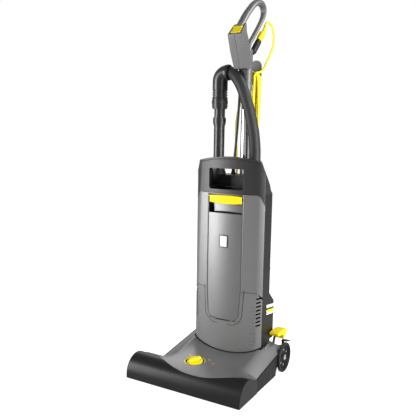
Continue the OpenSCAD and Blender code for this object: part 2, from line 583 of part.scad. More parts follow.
module rear_housing() color([0.11, 0.11, 0.12]) at_body() difference() {
  union() {
    along_x(-body_half, body_half) polygon(side_profile(0));
    translate([0, 0, belly_low]) linear_extrude(shell_top - belly_low) polygon(spine_plan(0));
    translate([0, 0, shell_top - 1]) linear_extrude(tower_z - shell_top + 1) polygon(tower_plan(0));
    along_x(-neck_half, neck_half) polygon([[axle_back - neck_r, axle_z],
      [axle_back - neck_r, belly_low + 1], [axle_back + neck_r, belly_low + 1], [axle_back + neck_r,
          axle_z]]);
    rod_x(108, body_half + 1, chest_back - 3, 336, 4);
    rod_x(-neck_half, neck_half, axle_back, axle_z, neck_r);
  }
  // bag chamber and motor chamber, both open to the front
  difference() {
    union() {
      along_x(-body_half + body_wall, body_half - body_wall) translate([-0.5, 0]) polygon([[side_y,
          bag_floor],
        [side_y, shell_top - 4], [chest_back - body_wall, shell_top - 4], [chest_back - body_wall,
            bag_floor]]);
      along_x(-body_half + body_wall, body_half - body_wall) translate([-0.5, 0]) polygon([[side_y,
          belly_low + 3],
        [side_y, bag_floor - 4], [chest_back - body_wall, bag_floor - 4], [chest_back - body_wall,
            waist_z - 2],
        [belly_back - body_wall, belly_z - 2], [belly_back - body_wall, belly_low + 3]]);
      translate([0, 0, belly_low + 3]) linear_extrude(belly_z - belly_low - 3) polygon(spine_plan(body_wall));
    }
    block([duct_x0 - 3, chest_back - 6, belly_low], [duct_x1 + 3, spine_back, belly_low + 24]);
    block([riser_x0 - 4, chest_back - 4, belly_low], [riser_x1 + 4, spine_back, bag_floor]);
  }
  rod_z(bag_floor - 5, bag_floor + 1, 0, fan_y, 21);
  // hollow spine and tower round the riser, the pole, the hose's socket and the lead
  difference() {
    union() {
      intersection() {
        translate([0, 0, belly_z - 3]) linear_extrude(shell_top - 5 - belly_z) polygon(spine_plan(body_wall));
        block([-body_half, chest_back, belly_z - 4], [body_half, spine_back, shell_top]);
      }
      translate([0, 0, shell_top - 9]) linear_extrude(tower_z - shell_top + 5) difference() {
        polygon(tower_plan(body_wall));
        translate([-body_half, tower_front]) square([2 * body_half, chest_back - tower_front]);
      }
    }
    block([riser_x0 - 3, chest_back - 1, 200], [riser_x1 + 3, chest_back + 37, riser_top + 3]);
    rod_z(riser_top - 20, tower_z, wand_x, wand_y, socket_r + 3);
    rod_z(pole_low - 5, tower_z, 0, pole_y, pole_r + 3.5);
    rod_z(inlet_z - 26, tower_z, hose_x, hose_y, socket_r + 3);
    rod_z(riser_top - 20, tower_z, lead_x, lead_y, 7);
    block([-2, chest_back, 200], [2, spine_back, pole_low]);
    rod_y(spine_back - 12, spine_back, 0, low_arm_z, 12);
  }
  // drum round the axle: hollow beside the duct, with a slot for its mouth
  difference() {
    rod_x(duct_x0 - 1, duct_x1 + 1, axle_back, axle_z, neck_r - 3);
    rod_x(duct_x0 - 2, duct_x1 + 2, axle_back, axle_z, axle_r + 2.5);
  }
  along_x(duct_x0 - 1.6, duct_x1 + 1.6) polygon(concat(arc(axle_back, axle_z, axle_r + 5, 184, 322, 12),
      arc(axle_back, axle_z, neck_r + 2, 322, 184, 16)));
  block([duct_x0 + 2, -17, axle_z + 20], [duct_x1 - 2, 25, belly_low + 20]);
  rod_x(-neck_half - 1, neck_half + 1, axle_back, axle_z, axle_r + run_gap);
  // riser to the wand's socket, inlet from the hose's socket, and the pole's bore
  block([riser_x0 - seat, chest_back + 1, belly_low + 10], [riser_x1 + seat, chest_back + 34,
    riser_top]);
  rod_z(riser_top - 1, tower_z + 1, wand_x, wand_y, socket_r + seat);
  rod_z(pole_low, tower_z + 1, 0, pole_y, pole_r + seat);
  rod_z(inlet_z - 22, tower_z + 1, hose_x, hose_y, socket_r + seat);
  rod_y(chest_back - 8, hose_y, hose_x, inlet_z, 16);
  rod_z(tower_z - 16, tower_z + 1, lead_x, lead_y, lead_r + seat);
  // slanted shoulder beside the wand's socket
  front_view(tower_front - 1, tower_front + 5) polygon([[-111, cap_seam + 2.8], [-111, tower_z + 1], [-46,
      tower_z + 1]]);
}
function tower_plan(t) = [[-109.5 + t, tower_front + t], [-109.5 + t, 10 - t], [-94 + t, 28 - t],
  [-62 + t, spine_back - t], [62 - t, spine_back - t], [72 - t, 34 - t], [76 - t, tower_front + t]];

module front_shell() color([0.56, 0.57, 0.58]) at_body() {
  difference() {
    intersection() {
      translate([0, 0, 230]) linear_extrude(cap_seam - 230 - seat) polygon(body_plan(0, side_y + 3));
      front_view(-120, 0) polygon([[-130, 243.6], [-corner_half, 265.6], [-100, lower_seam + fold], [100,
          lower_seam + fold],
        [corner_half, 265.6], [130, 243.6], [130, cap_seam + 29], [-130, cap_seam + 29]]);
    }
    cap_corners(seat);
    translate([0, 0, 220]) linear_extrude(cap_seam - 171) polygon(body_plan(body_wall, side_y + 5));
    front_view(-120, 0) polygon(door_outline(door_gap));
    translate([door_x, 0, 0]) front_view(-120, 0) polygon([[-recess_half, door_high], [recess_half,
        door_high],
      [recess_half, recess_high], [-recess_half, recess_high]]);
    latch_seats();
  }
  // recess round the latch, with the seats of its pin
  difference() {
    translate([0, 0, door_high - 2]) linear_extrude(shell_top - door_high + 2)
      polygon(door_strip(front_r - body_wall + 0.1, front_r - 24, recess_half + 2, 10));
    translate([0, 0, door_high - 3]) linear_extrude(recess_high - door_high + 3)
      polygon(door_strip(front_r, front_r - 22, recess_half, 10));
    latch_seats();
  }
}
module latch_seats() rod_x(door_x - recess_half - 1.5, door_x + recess_half + 1.5, latch_pin_y, latch_pin_z,
  latch_pin_r + 0.02);

module vent_slots() for (s = [-1, 1]) for (i = [0:vents - 1])
  translate([s * (corner_half + 3), side_y - 6, vent_low + vent_pitch * i]) rotate([0, s * -18, s * 40])
    cube([15, 26, 5], center = true);
module vent_pockets() for (s = [-1, 1]) for (i = [0:10])
  translate([s * 93, front_cy - sqrt(pow(front_r, 2) - pow(93, 2)), 98 + vent_pitch * i]) rotate([0, 0,
      s * 15])
    cube([17, 2.4, 7], center = true);
module lower_cover() color([0.47, 0.48, 0.49]) at_body() {
  difference() {
    intersection() {
      difference() {
        translate([0, 0, 55]) linear_extrude(220) polygon(body_plan(0, side_y + 3));
        translate([0, 0, 50]) linear_extrude(230) polygon(body_plan(body_wall, side_y + 5));
      }
      front_view(-120, 0) polygon(concat([for (i = [-12:12]) let (x = 119 * i / 12) [x, bottom_z(x)]],
        [[119, 242.8], [corner_half, 265], [100, lower_seam], [-100, lower_seam], [-corner_half, 265],
            [-119, 242.8]]));
    }
    front_view(-120, 0) polygon(door_outline(door_gap));
    for (s = [-1, 1]) rod_x(door_x + s * 39 - 8, door_x + s * 39 + 8, hinge_y, hinge_z, 3.1);
    vent_slots();
    vent_pockets();
  }
  // floor of the shell, raised at the sides
  intersection() {
    front_view(-120, side_y + 3) polygon(concat([for (i = [-12:12]) let (x = 119 * i / 12) [x, bottom_z(x)]],
      [for (i = [12:-1:-12]) let (x = 119 * i / 12) [x, bottom_z(x) + 3]]));
    translate([0, 0, 50]) linear_extrude(100) polygon(body_plan(body_wall - 0.1, side_y + 3));
  }
  // knuckles for the door's hinge
  translate([door_x, 0, 0]) for (s = [-1, 1]) difference() {
    union() {
      rod_x(s * 28.5 - 2.2, s * 28.5 + 2.2, hinge_y, hinge_z, barrel_r);
      block([s * 28.5 - 2.2, hinge_y - 1.6, door_low - 6], [s * 28.5 + 2.2, hinge_y + 1.6, hinge_z]);
    }
    rod_x(-32, 32, hinge_y, hinge_z, hinge_pin_r + 0.02);
  }
}

// Cap with its carrying bar, window and open back; its front corners reach down the sides
function crown_z(x) = cap_top - x * x / 832;
module cap_corners(gap) for (s = [-1, 1]) front_view(-120, 0) polygon([[s * 100, cap_seam - gap],
  [s * corner_half, cap_seam - 4 - gap], [s * 119, corner_z - gap], [s * 119, cap_seam + 1], [s * 100,
      cap_seam + 1]]);
module cap() color([0.2, 0.2, 0.21]) at_body() {
  intersection() {
    translate([0, 0, corner_z - 2]) linear_extrude(cap_seam - corner_z + 3) difference() {
      polygon(body_plan(0, side_y + 3));
      polygon(body_plan(body_wall, side_y + 5));
    }
    cap_corners(0);
  }
  difference() {
    intersection() {
      translate([0, 0, cap_seam]) linear_extrude(cap_high + 26) polygon(body_plan(0, 0));
      along_x(-body_half, body_half) polygon([[-110, cap_seam], [-110, cap_top + 15],
        [side_y - 3, cap_top + 15], [side_y, cap_seam + 69], [-53, cap_seam + 52], [-34, cap_seam + 30],
        [-27, cap_seam + 14], [-13, cap_seam + 2], [-13, cap_seam]]);
      front_view(-120, 0) polygon(concat([[119, cap_seam], [119, cap_seam + 67]],
        [for (i = [8:-1:-8]) [corner_half * i / 8, crown_z(corner_half * i / 8)]],
        [[-119, cap_seam + 67], [-119, cap_seam]]));
    }
    // recess behind the bar and the window under it
    translate([0, 0, cap_floor]) linear_extrude(cap_high + 26) polygon(concat(
      [for (i = [-8:8]) let (b = 15 * i / 8) [(front_r - 26) * sin(b), front_cy - (front_r - 26) * cos(b)]],
      [[100, 10], [-100, 10]]));
    translate([door_x, 0, 0]) front_view(-120, -40) polygon(concat(arc(window_half - 8, window_low + 8, 8,
        -90, 0, 5),
      arc(window_half - 5, window_top - 5, 5, 0, 90, 4), arc(5 - window_half, window_top - 5, 5, 90, 180, 4),
      arc(8 - window_half, window_low + 8, 8, 180, 270, 5)));
    translate([0, 0, cap_seam - 1]) linear_extrude(cap_floor - cap_seam - 3) polygon(body_plan(body_wall,
        chest_back - 4));
    translate([0, 0, cap_seam - 1]) linear_extrude(100) polygon(tower_plan(-seat));
  }
}

// Flow-through suction motor: fan case, windings' frame with its ribs, and the end bearing
module suction_motor() color([0.6, 0.6, 0.62]) at_body() translate([0, fan_y, 0]) {
  rotate_extrude($fn = fine) polygon([[20, fan_z + 102], [20, fan_top], [25, fan_top], [25, fan_z + 104],
    [fan_r, fan_z + 104], [fan_r, fan_z + 56], [34, fan_z + 52], [34, fan_z + 6], [16, fan_z], [16,
        fan_z - 10],
    [0, fan_z - 10], [0, fan_z + 60], [fan_r - 2, fan_z + 60], [fan_r - 2, fan_z + 102]]);
}
module motor_seal() color([0.1, 0.1, 0.1]) at_body() difference() {
  rod_z(fan_z + 104, bag_floor - 4, 0, fan_y, 28);
  rod_z(fan_z + 103, bag_floor - 3, 0, fan_y, 25 + seat);
}
module exhaust_filter() color([0.85, 0.86, 0.84]) at_body() translate([0, 0, 104]) linear_extrude(48)
  polygon(front_strip(front_r - 3.3, front_r - 10, -94, 94, 12));
module motor_filter() color([0.35, 0.38, 0.42]) at_body() block([-58, side_y - 4, bag_floor], [58,
    chest_back - 6, bag_floor + 9]);

// Filter bag and the collar that carries it on the inlet
module filter_bag() color([0.9, 0.88, 0.82]) at_body() difference() {
  hull() for (z = [bag_low + 16, bag_high - 14]) for (x = [-76, 76]) for (y = [-70, -42])
    translate([x, y, z]) sphere(r = z > bag_low + 100 ? 13 : 15, $fn = 12);
  rod_y(-60, 0, hose_x, inlet_z, 17);
}
module bag_collar() color([0.95, 0.95, 0.93]) at_body() difference() {
  block([hose_x - 34, -26.5, inlet_z - 36], [hose_x + 34, -23.5, inlet_z + 36]);
  rod_y(-30, -20, hose_x, inlet_z, 15 + seat);
}

module riser_duct() color([0.25, 0.25, 0.26]) at_body() difference() {
  block([riser_x0, chest_back + 1.5, belly_low + 12], [riser_x1, chest_back + 33.5,
    riser_top - 1 - seat]);
  block([riser_x0 + 2, chest_back + 3.5, belly_low + 10], [riser_x1 - 2, chest_back + 31.5,
    riser_top + 5]);
}
module wand_socket() color([0.1, 0.1, 0.11]) at_body() difference() {
  union() {
    rod_z(riser_top - 1, socket_top, wand_x, wand_y, socket_r);
    rod_z(tower_z + seat, tower_z + 8, wand_x, wand_y, socket_r + 2.5);
  }
  rod_z(riser_top - 20, socket_top + 1, wand_x, wand_y, wand_r - 1.5);
  rod_z(wand_low - seat, socket_top + 1, wand_x, wand_y, wand_r + 0.1);
}
module hose_socket() color([0.1, 0.1, 0.11]) at_body() difference() {
  union() {
    rod_z(inlet_z - 22, socket_top - 8, hose_x, hose_y, socket_r);
    rod_z(tower_z + seat, tower_z + 8, hose_x, hose_y, socket_r + 3.5);
    rod_y(-28, hose_y, hose_x, inlet_z, 15);
  }
  rod_z(inlet_z - 17, socket_top, hose_x, hose_y, socket_r - 4);
  rod_y(-30, hose_y, hose_x, inlet_z, 12.5);
}

// Door over the bag chamber, with its hinge barrel in the lower edge
module bag_door() color([0.5, 0.51, 0.52]) at_body() {
  difference() {
    intersection() {
      translate([0, 0, 150]) linear_extrude(door_high - 110) polygon(door_strip(front_r + 0.6, front_r - door_t,
          door_half + 1, 16));
      front_view(-120, -60) polygon(door_outline(0));
    }
    block([door_x - barrel_half - 0.3, -120, 150], [door_x + barrel_half + 0.3, -60, hinge_z]);
    for (s = [-1, 1]) block([door_x + s * 39 - 8.1, -120, 150], [door_x + s * 39 + 8.1, -60, hinge_z - 1.2]);
    for (s = [-1, 1]) rod_x(door_x + s * 28.5 - 2.8, door_x + s * 28.5 + 2.8, hinge_y, hinge_z, 4.2);
    rod_x(door_x - 32, door_x + 32, hinge_y, hinge_z, hinge_pin_r + run_gap);
  }
  translate([door_x, 0, 0]) difference() {
    rod_x(-barrel_half, barrel_half, hinge_y, hinge_z, barrel_r);
    for (s = [-1, 1]) rod_x(s * 24 - 6, s * 24 + 6, hinge_y, hinge_z, hinge_pin_r + run_gap);
  }
  // ledge and catch plate behind the latch
  translate([0, 0, door_high - 6]) linear_extrude(3) polygon(door_strip(front_r - door_t + 0.5,
      front_r - 18, plate_half, 10));
  translate([0, 0, door_high - 6]) linear_extrude(plate_top - door_high + 6)
    polygon(door_strip(front_r - 15, front_r - 18, plate_half, 10));
}
module door_pins() color([0.7, 0.7, 0.72]) at_body() translate([door_x, 0, 0]) for (s = [-1, 1])
  rod_x(s * 25 - 5.5, s * 25 + 5.5, hinge_y, hinge_z, hinge_pin_r);

module door_latch() color([0.98, 0.87, 0.08]) at_body() {
  difference() {
    intersection() {
      translate([0, 0, latch_z - 16]) linear_extrude(30) polygon(door_strip(front_r + 2, front_r - 8,
          latch_half, 12));
      translate([door_x, 0, 0]) front_view(-120, -60) polygon(concat([for (i = [-6:6])
          let (x = latch_half * i / 6) [x, latch_z - 14 + x * x / 1100]],
        [for (i = [6:-1:-6]) let (x = latch_half * i / 6) [x, latch_z + 13 - x * x / 1500]]));
    }
    rod_x(door_x - latch_half - 1, door_x + latch_half + 1, latch_pin_y, latch_pin_z, latch_pin_r + run_gap);
  }
}
module latch_pin() color([0.7, 0.7, 0.72]) at_body() rod_x(door_x - recess_half - 1.4,
    door_x + recess_half + 1.4,
  latch_pin_y, latch_pin_z, latch_pin_r);

// ---------- pole and handle ----------
module handle_pole() color([0.85, 0.86, 0.88]) at_body() difference() {
  rod_z(pole_low, pole_high, 0, pole_y, pole_r);
  rod_z(pole_low - 1, pole_high + 1, 0, pole_y, pole_r - tube_wall);
}
module pole_sleeve() color([0.5, 0.51, 0.52]) at_body() difference() {
  union() {
    rod_z(sleeve_low, sleeve_high, 0, pole_y, sleeve_r);
    rod_y(pole_y, hook_front - seat, 0, arm_z, 11);
  }
  rod_z(sleeve_low - 1, sleeve_high + 1, 0, pole_y, pole_r + 0.1);
  rod_y(pole_y + pole_r + 1, hook_front + 1, 0, arm_z, pivot_r + run_gap);
  rod_x(pole_r, 30, pole_y, 926, 3.5);
}

// Side view of the handle's box in the Y-Z plane, and the centre line of its loop
function box_view() = [[-25, 955], [-62, 1040], [-66, 1052], [-62, 1057], [-38, 1082], [-24, 1090],
  [-26, 1062], [2, 1003], [9, 972], [6.4, 963], [6.4, 955]];
loop_points = [[-40, 1074], [-26, 1087], [-10, 1103], [12, 1125], [34, 1143], [55, 1159], [82, 1173], [112,
    1178],
  [132, 1170], [139, 1156], [133, 1137], [112, 1112], [90, 1090], [66, 1066], [45, 1047], [32, 1031], [24,
      1010]];
module loop_bar() {
  p = spline([for (q = loop_points) [0, q[0], q[1]]], 2);
  n = len(p) - 1;
  scale([1.2, 1, 1]) tube_along(p, [for (i = [0:n]) let (u = i / n)
      u < 0.45 ? 10.5 : u < 0.68 ? 10.5 - 15 * (u - 0.45) : 7], 10);
}
module handle_form() {
  intersection() {
    along_x(-grip_half, grip_half) polygon(box_view());
    front_view(-90, 60) polygon([[-grip_half + 4, 950], [grip_half - 4, 950], [grip_half, 1000],
        [grip_half, 1050],
      [grip_half - 6, 1100], [-grip_half + 6, 1100], [-grip_half, 1050], [-grip_half, 1000]]);
  }
  rod_z(sleeve_high + seat, 1018, 0, pole_y, sleeve_r);
  hull() {
    rod_z(sleeve_high + seat, handle_low + 40, -25, 27, 6);
    rod_z(sleeve_high + seat, handle_low + 50, -12, pole_y, 8);
  }
  loop_bar();
}
module handle_hollow() {
  rod_z(900, pole_high + seat, 0, pole_y, pole_r + 0.1);
  rocker_place() along_x(-rocker_half - 0.6, rocker_half + 0.6) polygon([[-rocker_l / 2 - 0.6, 12],
      [-rocker_l / 2 - 0.6, -9.4],
    [-7, -13], [7, -13], [rocker_l / 2 + 0.6, -9.4], [rocker_l / 2 + 0.6, 12]]);
  rocker_place() rod_x(-rocker_half - 4, rocker_half + 4, 0, -6, 2 + run_gap);
  rod_z(1083, 1120, 0, -18, 4.4);
  on_inlet(-6 - seat) cylinder(h = 7, r = 7 + seat, $fn = 48);
  on_inlet(-seat) cylinder(h = 30, r = 11, $fn = 48);
}
module rocker_place() translate([0, rocker_y, rocker_z]) rotate([43, 0, 0]) children();
module handle_left() color([0.55, 0.56, 0.57]) at_body() difference() {
  handle_form();
  handle_hollow();
  block([0, -200, 900], [100, 300, 1300]);
}
module handle_right() color([0.55, 0.56, 0.57]) at_body() difference() {
  handle_form();
  handle_hollow();
  block([-100, -200, 900], [0.1, 300, 1300]);
}
module power_rocker() color([0.98, 0.87, 0.08]) at_body() rocker_place() {
  rod_x(-rocker_half - 3, rocker_half + 3, 0, -6, 2);
  along_x(-rocker_half, rocker_half) polygon([[0.6 - rocker_l / 2, -5], [-rocker_l / 2, 3], [0, 2],
      [rocker_l / 2 - 2.2, 5],
    [rocker_l / 2 - 0.8, -5], [0, -10.5]]);
}

// Ribbed mains inlet under the loop and the connector in it, along one slanted line
module on_inlet(d) translate([inlet_x, inlet_y, inlet_z0]) rotate([-inlet_tilt, 0, 0]) translate([0, 0, d])
    children();
module cord_inlet() color([0.2, 0.2, 0.21]) at_body() difference() {
  on_inlet(0) rotate_extrude($fn = 48) polygon(concat([[0, -6], [7, -6], [7, 0], [9, 0]],
    [for (i = [0:7]) for (q = [[10.4, 4 + 6 * i], [10.4, 7.5 + 6 * i], [9.4, 7.5 + 6 * i], [9.4,
        10 + 6 * i]]) q],
    [[9.4, inlet_len], [0, inlet_len]]));
  on_inlet(inlet_len - 12) cylinder(h = 20, r = 7.4, $fn = 40);
}
module cord_connector() color([0.98, 0.87, 0.08]) at_body() {
  long = inlet_run / sin(inlet_tilt) - inlet_len - seat;
  on_inlet(inlet_len - 11.5) cylinder(h = 12, r = 7, $fn = 40);
  on_inlet(inlet_len + seat) rotate_extrude($fn = 48) polygon([[0, 0], [9.5, 0], [10.8, 3], [10.8, 16],
      [9.8, 18],
    [10.8, 20], [10.8, long - 12], [8, long - 6], [cord_r + 1.5, long], [0, long]]);
}

// ---------- cord hooks ----------
function hook_view(z0, z1) = concat(arc(0, z0, 19, 180, 360, 14), arc(0, z1, 20, 0, 180, 14));
module upper_cord_hook() color([0.5, 0.51, 0.52]) at_body() {
  rod_y(hook_front, hook_back - hook_plate_t, 0, arm_z, arm_r);
  rod_y(pole_y + pole_r + 1.4, hook_front + 1, 0, arm_z, pivot_r);
  front_view(hook_back - hook_plate_t, hook_back) polygon(hook_view(arm_z, hook_disc_z));
}
module lower_cord_hook() color([0.12, 0.12, 0.13]) at_body() {
  rod_y(spine_back, hook_back - hook_plate_t, 0, low_arm_z, arm_r);
  translate([0, 0, 2 * low_arm_z]) mirror([0, 0, 1]) front_view(hook_back - hook_plate_t, hook_back)
    polygon(hook_view(low_arm_z, low_arm_z + 26));
}

// ---------- cords ----------
// Black lead from the handle to the body
lead_points = [[-25, 27, 962.2], [-25, 27, 946], [-25, 27, 920], [-25, 27, 890], [-25, 26, 860], [-28, 25,
    790],
  [-33, 25, 720], [-38, 25, 665], [-40, 25, 640], [-40, 25, 624], [-40, 25, 608]];
module handle_lead() color([0.05, 0.05, 0.05]) at_body() tube_along(spline(lead_points, 3), lead_r, 8);

// Free loop of the mains cord, from the connector to the first turn on the hooks
cord_points = [[13, 113, 1087], [13, 118.5, 1092.5], [13, 123, 1099], [13, 129, 1112], [13, 142, 1121.5],
  [14, 162, 1120], [15, 180, 1109], [16, 190, 1092], [17, 191.5, 1079], [18, 187, 1059], [20, 172, 1038],
  [22, 149, 1014], [25, 122, 992], [27, 104, 975], [26, 90, 962], [25, 76, 955], [23, 64, 951], [19, 54, 949],
  [14.5, 52.6, 945], [13.15, 52.6, 939], [13.15, 52.6, 931]];
module power_cord() color([0.98, 0.87, 0.08]) at_body() tube_along(spline(cord_points, 3), cord_r, 8);

// Winding on the two hooks: loops of 24 rings that spiral back along the hooks, climb a layer in their last
// half turn and step forward again, drawn in at the waist; the last left run hangs loose, the end hangs down
turns = 7;
turn_rings = 24;
inner_turns = 4;
wind_front = 52.6;
wind_pitch = 8.1;
layer_step = 8.3;
waist = 6;
loose = [20, 25, 29];       // how far the last left run bows out at its three rings
function wind_y(t) = let (v = t - inner_turns, w = floor(v))
  wind_front + wind_pitch * (v < 0 ? t : inner_turns - w - min(1, (v - w) / 0.6));
function wind_r(t) = arm_r + cord_lift + layer_step * pow(min(1, max(0, 2 * (t - inner_turns) + 1)), 2.5);
function run_in(j) = waist * sin(45 * j);
function wind_at(s) = let (k = s % turn_rings, t = s / turn_rings, r = wind_r(t), y = wind_y(t),
    last = s > (turns - 1) * turn_rings)
  k < 4 ? [r - run_in(k), y, arm_z + (low_arm_z - arm_z) * k / 4] :
  k <= 12 ? [r * cos(22.5 * (k - 4)), y, low_arm_z - r * sin(22.5 * (k - 4))] :
  k < 16 ? [last ? -r - loose[k - 13] : run_in(k - 12) - r, y, low_arm_z + (arm_z - low_arm_z) * (k - 12)
      / 4] :
  [-r * cos(22.5 * (k - 16)), y, arm_z + r * sin(22.5 * (k - 16))];
tail_points = [[24, 60.7, 900], [27, 60.7, 820], [29, 62, 650], [30.5, 66, 500], [31, 70, 408], [31, 70,
    400]];
winding = concat([for (s = [0:turns * turn_rings]) wind_at(s)], tail_points);
function dense(p) = [for (i = [0:len(p) - 2]) let (n = ceil(norm(p[i + 1] - p[i]) / 12)) for (k = [0:n - 1])
  p[i] + (p[i + 1] - p[i]) * k / n];
module cord_winding() color([0.98, 0.87, 0.08]) at_body() {
  q = dense(winding);
  echo(winding_gap = min([for (i = [0:len(q) - 8]) for (j = [i + 7:len(q) - 1]) norm(q[i] - q[j])])
      - 2 * cord_r,
    cord_length = path_len(winding) + path_len(cord_points));
  tube_along(winding, cord_r, 6);
}

// Moulded two-pin plug at the cord's hanging end
module mains_plug() color([0.98, 0.87, 0.08]) at_body() translate(tail_points[len(tail_points) - 1]) {
  rotate_extrude($fn = 40) polygon([[0, 0], [cord_r + 1.8, 0], [cord_r + 2.6, -24], [9, -28], [15.5, -36],
      [16, -44],
    [14.5, -58], [0, -58]]);
  for (s = [-1, 1]) {
    rod_z(-75, -57, s * 9.5, 0, 2.4);
    translate([s * 9.5, 0, -75]) sphere(r = 2.4, $fn = 20);
  }
}

// ---------- wand and hose ----------
module wand() color([0.13, 0.13, 0.14]) at_body() difference() {
  rod_z(wand_low, wand_high, wand_x, wand_y, wand_r);
  rod_z(wand_low - 1, wand_high + 1, wand_x, wand_y, wand_r - tube_wall);
}
module wand_collar() color([0.13, 0.13, 0.14]) at_body() difference() {
  union() {
    rod_z(788, 806, wand_x, wand_y, wand_r + 3.6);
    rod_z(781, 788, wand_x, wand_y, wand_r + 2);
  }
  rod_z(780, 810, wand_x, wand_y, wand_r + 0.1);
  rod_x(wand_x - 30, wand_x + 30, wand_y - 4, 797, 3.4);
}
module wand_coupling() color([0.13, 0.13, 0.14]) at_body() difference() {
  union() {
    rod_z(834, 840, wand_x, wand_y, 24);
    rod_z(840, 868, wand_x, wand_y, 25.5);
  }
  rod_z(830, wand_high + seat, wand_x, wand_y, wand_r + 0.1);
  rod_z(830, 870, wand_x, wand_y, 16);
}
// Elbow: a straight foot with relief slots, then a bend of elbow_turn degrees
module elbow() color([0.1, 0.1, 0.11]) at_body() translate([wand_x, wand_y, 0]) difference() {
  pipe_along(concat([[0, 0, 868.3], [0, 0, (868.3 + elbow_z) / 2]],
    [for (i = [0:12]) let (a = elbow_turn * i / 12) [elbow_bend - elbow_bend * cos(a), 0,
        elbow_z + elbow_bend * sin(a)]],
    [[elbow_bend - elbow_bend * cos(elbow_turn) + 4 * sin(elbow_turn), 0,
      elbow_z + elbow_bend * sin(elbow_turn) + 4 * cos(elbow_turn)]]), [for (i = [0:15]) elbow_r], 16, 24);
  for (i = [0:2]) for (a = [0, 180]) rotate([0, 0, a]) translate([elbow_r - 1, 0, 874 + 8 * i])
    cube([10, 26, 3.4], center = true);
}
hose_run = [[-48.9, 2, 947.4], [-39, 1.2, 945.6], [-18, -8.5, 929], [-1, -13.5, 907], [11, -15.5, 884],
    [22, -13, 853],
  [29, -9, 826], [35, -5, 798], [40, -1, 767], [43.5, 2, 736], [45.5, 4, 705], [46, 4, 682], [46, 4, 665]];
// The lower points slide with the hose's end
function slid(p, top, low) = [p[0], p[1], p[2] + (hose_end - low) * (top - p[2]) / (top - low)];
hose_points = [for (p = hose_run) slid(p, hose_run[0][2], hose_run[len(hose_run) - 1][2])];
module suction_hose() color([0.16, 0.16, 0.17]) at_body() {
  p = spline(hose_points, 10);
  last = len(p) - 1;
  pipe_along(p, [for (i = [0:last]) i < 2 || i > last - 2 || i % 2 == 1 ? hose_r : hose_r - hose_rib],
    hose_r - hose_wall, 8);
}
// Cuff that joins the hose to its socket
module hose_cuff() color([0.12, 0.12, 0.13]) at_body() difference() {
  union() {
    rod_z(socket_top - 8 + seat, hose_end + 6, hose_x, hose_y, hose_r + 3);
    rod_z(socket_top - 40, socket_top - 7, hose_x, hose_y, socket_r - 4 - seat);
  }
  rod_z(socket_top - 41, hose_end, hose_x, hose_y, 14.5);
  rod_z(hose_end - 0.2, hose_end + 7, hose_x, hose_y, hose_r + 0.1);
}

module screws() color([0.3, 0.3, 0.32]) at_body() {
  rod_z(1083, 1090, 0, -18, 4.1);
  for (x = [-54, 54]) for (z = [300, cap_seam - 31]) rod_y(spine_back, spine_back + 1.6, x, z, 4.5);
}

brush_hood();
base_chassis();
sole_plate();
base_cover();
load_lamp();
brush_motor();
motor_pulley();
drive_belt();
brush_roller();
brush_bearings();
suction_duct();
axle();
wheel_left();
wheel_right();
tyre_left();
tyre_right();
height_knob();
release_pedal();
pedal_pin();
rear_housing();
front_shell();
lower_cover();
cap();
suction_motor();
motor_seal();
exhaust_filter();
motor_filter();
filter_bag();
bag_collar();
riser_duct();
wand_socket();
hose_socket();
bag_door();
door_pins();
door_latch();
latch_pin();
handle_pole();
pole_sleeve();
handle_left();
handle_right();
power_rocker();
cord_inlet();
cord_connector();
upper_cord_hook();
lower_cord_hook();
handle_lead();
power_cord();
cord_winding();
mains_plug();
wand();
wand_collar();
wand_coupling();
elbow();
suction_hose();
hose_cuff();
screws();
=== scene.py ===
import bpy, bmesh, json, random
from math import sin, cos, pi, radians, sqrt, asin, hypot, floor
from mathutils import Vector, Matrix


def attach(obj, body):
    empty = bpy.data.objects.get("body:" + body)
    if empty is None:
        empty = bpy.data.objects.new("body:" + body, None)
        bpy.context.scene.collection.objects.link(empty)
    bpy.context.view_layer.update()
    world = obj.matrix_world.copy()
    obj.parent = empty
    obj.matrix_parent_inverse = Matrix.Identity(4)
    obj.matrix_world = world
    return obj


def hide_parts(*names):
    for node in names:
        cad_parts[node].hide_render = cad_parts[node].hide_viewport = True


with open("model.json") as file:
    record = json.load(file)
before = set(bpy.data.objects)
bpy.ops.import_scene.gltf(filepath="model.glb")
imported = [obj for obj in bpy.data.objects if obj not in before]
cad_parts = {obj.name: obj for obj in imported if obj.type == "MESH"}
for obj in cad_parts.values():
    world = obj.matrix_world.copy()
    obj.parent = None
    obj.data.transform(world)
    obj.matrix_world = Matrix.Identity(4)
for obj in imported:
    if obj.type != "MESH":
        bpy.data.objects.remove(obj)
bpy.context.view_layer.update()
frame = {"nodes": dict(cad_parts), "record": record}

random.seed(7)
bodyShift = Vector((0.026375, 0.0783, 0))      # body's datum in the frame
headShift = Vector((-0.003625, 0.0783, 0))     # brush head's datum in the frame


def at(x, y, z, shift=bodyShift):              # millimetres on the body to metres in the frame
    return Vector((x, y, z)) * 0.001 + shift


def grey(level, tint=(0, 0, 0)):               # screen level 0-255 to a linear colour
    out = []
    for part in tint:
        c = (level + part) / 255
        out.append(c / 12.92 if c < 0.04045 else ((c + 0.055) / 1.055) ** 2.4)
    return (*out, 1)


# camera
view = {"place": (0.814575, -1.5039, 0.7477), "right": (0.8662, 0.4994, 0.0171),
        "up": (-0.0801, 0.1048, 0.9913), "back": (0.4932, -0.8601, 0.1308), "lens": 47.54}
lensData = bpy.data.cameras.new("viewLens")
lensData.lens, lensData.sensor_width = view["lens"], 36
camera = bpy.data.objects.new("viewCamera", lensData)
turn = Matrix((view["right"], view["up"], view["back"])).transposed().to_4x4()
camera.matrix_world = Matrix.Translation(view["place"]) @ turn
bpy.context.collection.objects.link(camera)
bpy.context.scene.camera = camera
bpy.context.scene.view_settings.view_transform = "Standard"
print("camera ready")


